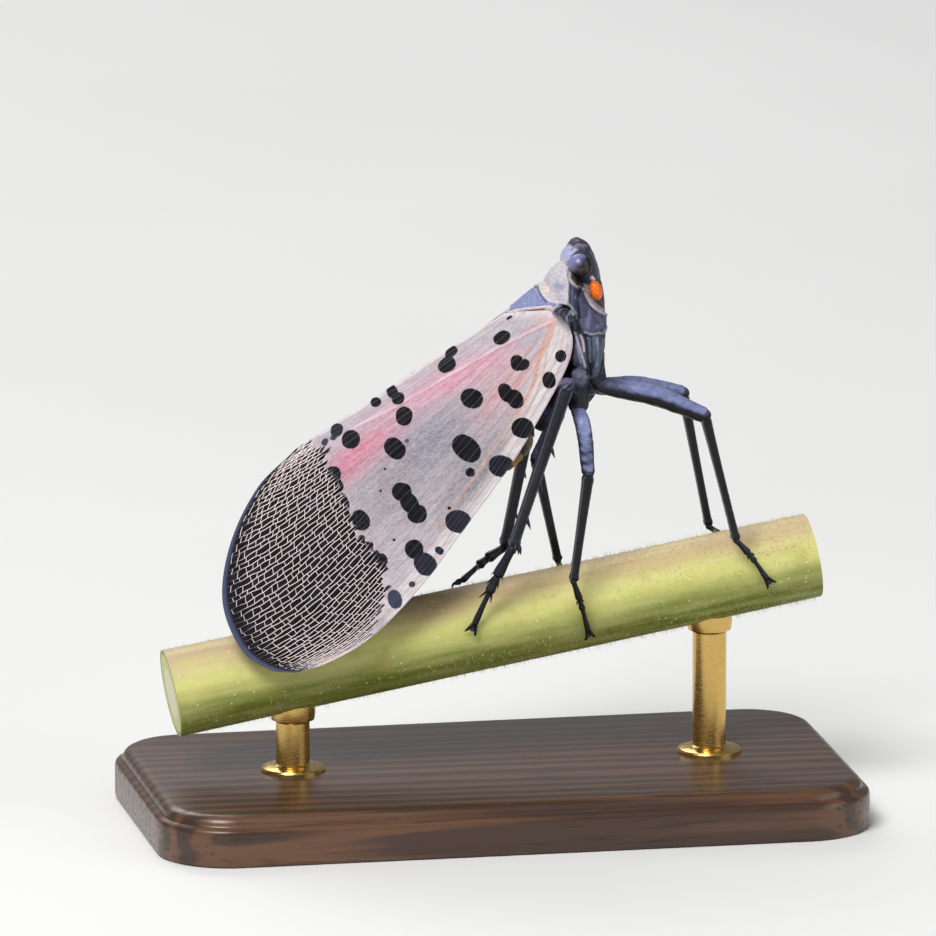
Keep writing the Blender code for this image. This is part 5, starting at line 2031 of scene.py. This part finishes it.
@dataclass
class Stem:
    """The cut length of stem that the insect stands on, with its fine hairs.

    Faces are shares of the radius at which its cut faces have rings.
    """

    rings: int = 330
    sides: int = 150
    thinning: float = 0.04
    faces: tuple[float, ...] = (0.985, 0.93, 0.85, 0.6, 0.35, 0.12)
    hairs: int = 7500
    hair_length: Pair = (0.12, 0.36)
    hair_radius: float = 0.010

    def bark(self) -> Sheet:
        """The stem: rings along its axis with a slow and a long ripple in their radius, and its cut faces.

        Returns:
            The bark, with the share of the radius in the field core.
        """
        along, turn = np.linspace(PERCH.back, PERCH.front, self.rings), circle(self.sides)[0]
        grid_a, grid_t = np.meshgrid(along, turn, indexing="ij")
        wave = np.stack([grid_a / 4, np.cos(grid_t), np.sin(grid_t)], -1)
        ripple = 0.012 * cloud(wave, 2.2, 61) + 0.004 * cloud(wave * np.array([1, 6, 6]), 2.0, 62)
        radius = PERCH.radius * (1 + ripple) - self.thinning * grid_a / PERCH.front
        rings = PERCH.axis(along)[:, None] + radius[..., None] * PERCH.out(turn)
        inner = np.array(self.faces)
        core = np.concatenate([inner[::-1], np.ones(self.rings), inner])
        first, last = PERCH.axis(along[0]), PERCH.axis(along[-1])
        made = shell(np.concatenate([first + (rings[0] - first) * inner[::-1, None, None], rings,
                                     last + (rings[-1] - last) * inner[:, None, None]]))
        made.fields = {"core": np.concatenate([np.repeat(core, self.sides), [0, 0]])}
        return made

    def down(self) -> Sheet:
        """Fine hairs scattered over the bark, each leaning its own way.

        Returns:
            The hairs.
        """
        draw = np.random.default_rng(63)
        place = draw.uniform(PERCH.back + 0.2, PERCH.front - 0.2, self.hairs)
        way = PERCH.out(draw.uniform(0, 2 * math.pi, self.hairs))
        root = PERCH.axis(place) + way * (PERCH.radius - 0.04)
        lean = unit(way + draw.normal(0, 0.45, way.shape))
        tips = root + lean * draw.uniform(*self.hair_length, self.hairs)[:, None]
        return needles(root, tips, self.hair_radius)

    def build(self, finish: Material, hair_finish: Material) -> None:
        """Makes the bark and the hairs.

        Args:
            finish: the bark's material.
            hair_finish: the hairs' material.
        """
        self.bark().piece("perch_stem_bark", finish, "green_stem", ["perch_stem"], 40.0)
        self.down().piece("perch_stem_hairs", hair_finish, "green_stem")


@dataclass
class Stand:
    """The plain wooden base and the two brass rods that carry the stem.

    The board's edge is given from below, by how far it is drawn in and its height. A rod's ring and collar
    are heights, above the board and above where the bark starts, each with a share of the rod's radius.
    """

    length: float = 34.0
    width: float = 18.0
    thick: float = 2.4
    corner: float = 3.5
    edge: tuple[Pair, ...] = (
        (0.25, 0.0), (0.06, 0.06), (0.0, 0.25), (0.0, 1.55), (0.03, 1.70), (0.10, 1.80), (0.30, 1.86),
        (0.36, 1.92), (0.38, 2.02), (0.44, 2.16), (0.56, 2.28), (0.74, 2.37), (0.95, 2.4),
    )
    rod: float = 0.8
    ring: tuple[Pair, ...] = ((-0.2, 1.9), (0.12, 1.9), (0.2, 1.82), (0.26, 1.6), (0.30, 1.1), (0.36, 1.0))
    collar: tuple[Pair, ...] = ((-0.55, 1.0), (-0.48, 1.08), (-0.42, 1.28), (-0.1, 1.34), (0.3, 1.34))
    places: tuple[tuple[str, float], ...] = (("rear", -10.1), ("front", 10.2))

    def outline(self, inset: float, height: float, sides: int = 240) -> Array:
        """A rectangle with round corners, as points evenly turned within each quarter.

        Args:
            inset: how far it is drawn in.
            height: its height above the floor.
            sides: how many points it has.

        Returns:
            The points.
        """
        turn = circle(sides)[0] + math.pi / sides
        quarter = np.floor(turn / (math.pi / 2)).astype(int) % 4
        x = np.array([1, -1, -1, 1])[quarter] * (self.length / 2 - self.corner)
        y = np.array([1, 1, -1, -1])[quarter] * (self.width / 2 - self.corner)
        corner = self.corner - inset
        return np.stack([x + corner * np.cos(turn), y + corner * np.sin(turn), np.full(sides, height)], -1)

    def build(self, wood: Material, brass: Material) -> None:
        """Makes the board with its softened edges, and the rods with a ring at the foot and a collar on top.

        Args:
            wood: the board's material.
            brass: the rods' material.
        """
        board = shell(np.stack([self.outline(inset, height) for inset, height in self.edge]))
        board.piece("stand_board", wood, "stand_wood", ["stand_base"], 50.0)
        turn, c, s = circle(64)
        for word, along in self.places:
            x, _, z = PERCH.axis(along)
            foot = np.array([x, 0.0, self.thick])
            height = z - PERCH.radius / math.cos(PERCH.slope) - self.thick
            steps = [*self.ring, *((height + rise, wide) for rise, wide in self.collar)]
            rings = [foot + np.stack([c * self.rod * wide, s * self.rod * wide, rise + 0 * turn], -1)
                     for rise, wide in steps]
            rod = shell(np.stack(rings))
            rod.piece(f"stand_rod_{word}_brass", brass, "stand_brass", [f"stand_rod_{word}"], 30.0)


@dataclass(frozen=True)
class EyeFinish:
    """Glossy dark compound eye, paler lilac above: partly its own colour and partly a painted reflection of
    the sky.

    The change of colour is tilted by turn, lies between two levels above the eye's middle, and strays a
    little, in metres.
    """

    name: str = "compound_eye"
    turn: float = math.radians(40.0)
    levels: Pair = (0.20, 0.66)
    stray: float = 0.00035

    def material(self) -> Material:
        """Builds the material.

        Returns:
            The material.
        """
        g = Graph(self.name, Roughness=0.24, Specular_IOR_Level=0.6)
        x, _, z = INSECT.place(FACE.eye)
        middle = z * math.cos(self.turn) - x * math.sin(self.turn)
        height = g.sum(g.height(self.turn), g.times(g.noise(0.3, 4.0), self.stray))
        shade = g.span(height, *((middle + level) * MM for level in self.levels))
        # Painted reflection: the lilac upper side stands partly for the sky reflected in the eye, partly for
        # its own colour.
        g.colour(g.mix(shade, (22, 14, 18), (128, 128, 172)))
        g.bump(g.cells(0.03), 0.006, 0.5)
        return g.material


@dataclass(frozen=True)
class BulbFinish:
    """Bright orange, pitted and waxy, with a dark bristle."""

    name: str = "orange_bulb"

    def material(self) -> Material:
        """Builds the material, which reads the field dark.

        Returns:
            The material.
        """
        g = Graph(self.name, Roughness=0.34, Specular_IOR_Level=0.5, Subsurface_Weight=0.15,
                  Subsurface_Radius=(0.0004, 0.0002, 0.0001))
        pits = g.cells(0.11, feature="F1")
        orange = g.mix(g.span(pits, 0.15, 0.6), (246, 132, 24), (232, 100, 12))
        g.colour(g.mix(g.attribute("dark"), orange, (40, 22, 16)))
        g.bump(pits, 0.02, 0.5)
        return g.material


@dataclass(frozen=True)
class StemFinish:
    """Young yellow-green bark, darker below as painted shade, tanned on its upper side, with pale cut ends.

    The first pair of heights above the axis is where the painted shade gives way to pale bark, the second
    where the bark turns tan. They stray a little, in metres.
    """

    name: str = "green_bark"
    green: Pair = (-0.5, 1.4)
    tan: Pair = (1.1, 2.4)
    stray: float = 0.0009

    def material(self) -> Material:
        """Builds the material, which reads the field core.

        Returns:
            The material.
        """
        g = Graph(self.name, Roughness=0.5, Specular_IOR_Level=0.35, Subsurface_Weight=0.08,
                  Subsurface_Radius=(0.0008, 0.0008, 0.0003))
        level = g.sum(g.height(PERCH.slope), g.times(g.noise(2.4, 3.0), self.stray))
        middle = math.cos(PERCH.slope) * PERCH.z - math.sin(PERCH.slope) * PERCH.x
        # Painted shade: the bark is dark olive low on the stem and pale yellow-green high on it, as if lit
        # from above.
        light, tan = (g.span(level, *((middle + height) * MM for height in heights))
                      for heights in (self.green, self.tan))
        streak = g.noise(0.5, 5.0, g.place(stretch=(0.12, 1.0, 1.0), turn=(0.0, PERCH.slope, 0.0)))
        dots = g.span(g.cells(0.50, feature="F1"), 0.07, 0.14, 1.0, 0.0)
        brown = g.span(g.cells(2.6, feature="F1"), 0.03, 0.05, 1.0, 0.0)
        bark = g.mix(light, (112, 124, 40), (214, 212, 126))
        for share, colour in ((g.times(tan, 0.9), (204, 172, 140)),
                              (g.span(streak, 0.35, 0.7, 0.0, 0.35), (226, 222, 150)),
                              (g.span(g.noise(1.3, 4.0), 0.55, 0.75, 0.0, 0.3), (176, 150, 70)),
                              (g.times(dots, 0.6), (240, 238, 196)), (g.times(brown, 0.8), (120, 84, 40))):
            bark = g.mix(share, bark, colour)
        core = g.attribute("core")
        pith = g.mix(g.span(core, 0.55, 0.62), (232, 226, 190), (206, 212, 140))
        pith = g.mix(g.span(core, 0.86, 0.94), pith, (140, 150, 50))
        g.colour(g.mix(g.span(core, 0.985, 0.998), pith, bark))
        fine = g.noise(0.12, 4.0)
        for height, depth, strength in ((streak, 0.03, 0.5), (fine, 0.02, 0.5), (dots, 0.02, 0.4)):
            g.bump(height, depth, strength)
        return g.material


@dataclass(frozen=True)
class PlainFinish:
    """A finish of one colour, mottled with a shade of it."""

    name: str
    colour: Rgb
    shade: Rgb
    rough: float
    size: float
    depth: float = 0.004

    def material(self) -> Material:
        """Builds the material.

        Returns:
            The material.
        """
        g = Graph(self.name, Roughness=self.rough)
        cloudy = g.noise(self.size, 4.0)
        g.colour(g.mix(g.span(cloudy, 0.35, 0.65), self.colour, self.shade))
        g.bump(cloudy, self.depth, 0.4)
        return g.material


@dataclass(frozen=True)
class WoodFinish:
    """Dark stained hardwood with its grain along the base."""

    name: str = "stained_wood"

    def material(self) -> Material:
        """Builds the material.

        Returns:
            The material.
        """
        g = Graph(self.name, Roughness=0.38, Coat_Weight=0.25, Coat_Roughness=0.2)
        place = g.place(stretch=(0.07, 1.0, 1.6), turn=(0.0, 0.0, math.radians(2.0)))
        rings = g.add("TexWave", {"Vector": place, "Scale": 260.0, "Distortion": 7.0, "Detail": 3.0,
                                  "Detail Scale": 1.4}, wave_type="BANDS", bands_direction="Y").outputs["Fac"]
        pores = g.noise(0.22, 4.0, g.place(stretch=(0.05, 1.0, 1.0)))
        tone = g.mix(g.span(rings, 0.2, 0.9), (64, 42, 30), (104, 70, 46))
        tone = g.mix(g.span(g.noise(7.0, 2.0, place), 0.3, 0.7, 0.0, 0.4), tone, (78, 50, 34))
        g.colour(g.mix(g.span(pores, 0.56, 0.70, 0.0, 0.7), tone, (34, 22, 16)))
        g.roughness(g.span(pores, 0.5, 0.7, 0.34, 0.55))
        g.bump(pores, 0.02, 0.4)
        return g.material


@dataclass(frozen=True)
class BrassFinish:
    """Polished brass, finely drawn round the rod."""

    name: str = "rod_brass"

    def material(self) -> Material:
        """Builds the material.

        Returns:
            The material.
        """
        g = Graph(self.name, Roughness=0.24, Metallic=1.0)
        drawn = g.noise(0.25, 4.0, g.place(stretch=(1.0, 1.0, 9.0)))
        g.colour(g.mix(g.span(drawn, 0.3, 0.7), (204, 166, 92), (222, 188, 116)))
        g.roughness(g.span(drawn, 0.3, 0.7, 0.18, 0.32))
        g.bump(drawn, 0.003, 0.4)
        return g.material


@dataclass
class Studio:
    """A plain pale floor and soft lights, all in metres: each light's name, place, size and power."""

    floor: float = 1.2
    aim: Triple = (0.0, 0.0, 0.015)
    lights: tuple[tuple[str, Triple, float, float], ...] = (
        ("key", (-0.14, -0.20, 0.30), 0.16, 1.10),
        ("fill", (0.30, -0.22, 0.14), 0.26, 0.24),
        ("rim", (-0.05, 0.28, 0.26), 0.20, 0.42),
    )
    sky: Triple = (0.90, 0.95, 1.0)
    glow: float = 0.25

    def build(self, finish: Material) -> None:
        """Makes the floor, the lights and the sky.

        Args:
            finish: the floor's material.
        """
        scene = bpy.context.scene
        points = np.array([(-1, -1, 0), (1, -1, 0), (1, 1, 0), (-1, 1, 0)]) * self.floor
        mesh = Sheet(points, np.array([[0, 1, 2, 3]])).mesh("studio_floor", 1.0)
        mesh.materials.append(finish)
        floor = bpy.data.objects.new("studio_floor", mesh)
        scene.collection.objects.link(floor)
        for name, place, wide, power in self.lights:
            data = bpy.data.lights.new(name, "AREA")
            data.size, data.energy = wide, power
            light = bpy.data.objects.new(name, data)
            light.location = place
            light.rotation_mode = "QUATERNION"
            light.rotation_quaternion = (Vector(place) - Vector(self.aim)).to_track_quat("Z", "Y")
            scene.collection.objects.link(light)
        world = bpy.data.worlds.new("studio_sky")
        world.use_nodes = True
        background = world.node_tree.nodes["Background"]
        background.inputs["Color"].default_value = (*self.sky, 1.0)
        background.inputs["Strength"].default_value = self.glow
        scene.world = world
        scene.view_settings.view_transform = "Standard"


def main() -> None:
    """Builds the model round the frame, then the studio."""
    logging.basicConfig(level=logging.INFO, format="%(name)s %(message)s")
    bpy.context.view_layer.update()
    CAMERA.camera()
    skin = SkinFinish().material()
    leg_skin = SkinFinish("leg_skin", 0.05, 0.5, 0.012, (1.0, 1.0, 0.6), 0.26).material()
    BodySkin().build(skin)
    Abdomen().build(skin)
    FACE.build(EyeFinish().material(), BulbFinish().material())
    for leg in legs():
        leg.build(leg_skin)
    wing, vein = WingFinish("wing_leather").material(), VeinFinish("wing_vein").material()
    hind, hind_vein = WingFinish("hindwing_membrane").material(), VeinFinish("hindwing_vein").material()
    for side in Side:
        Forewing(side).build(wing, vein)
        HindWing(side).build(hind, hind_vein)
    hair = PlainFinish("stem_hair", (230, 226, 190), (214, 208, 160), 0.5, 0.5)
    paper = PlainFinish("studio_paper", (250, 249, 246), (247, 246, 243), 0.9, 60.0)
    Stem().build(StemFinish().material(), hair.material())
    Stand().build(WoodFinish().material(), BrassFinish().material())
    Studio().build(paper.material())
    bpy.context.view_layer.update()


if __name__ == "__main__":
    main()
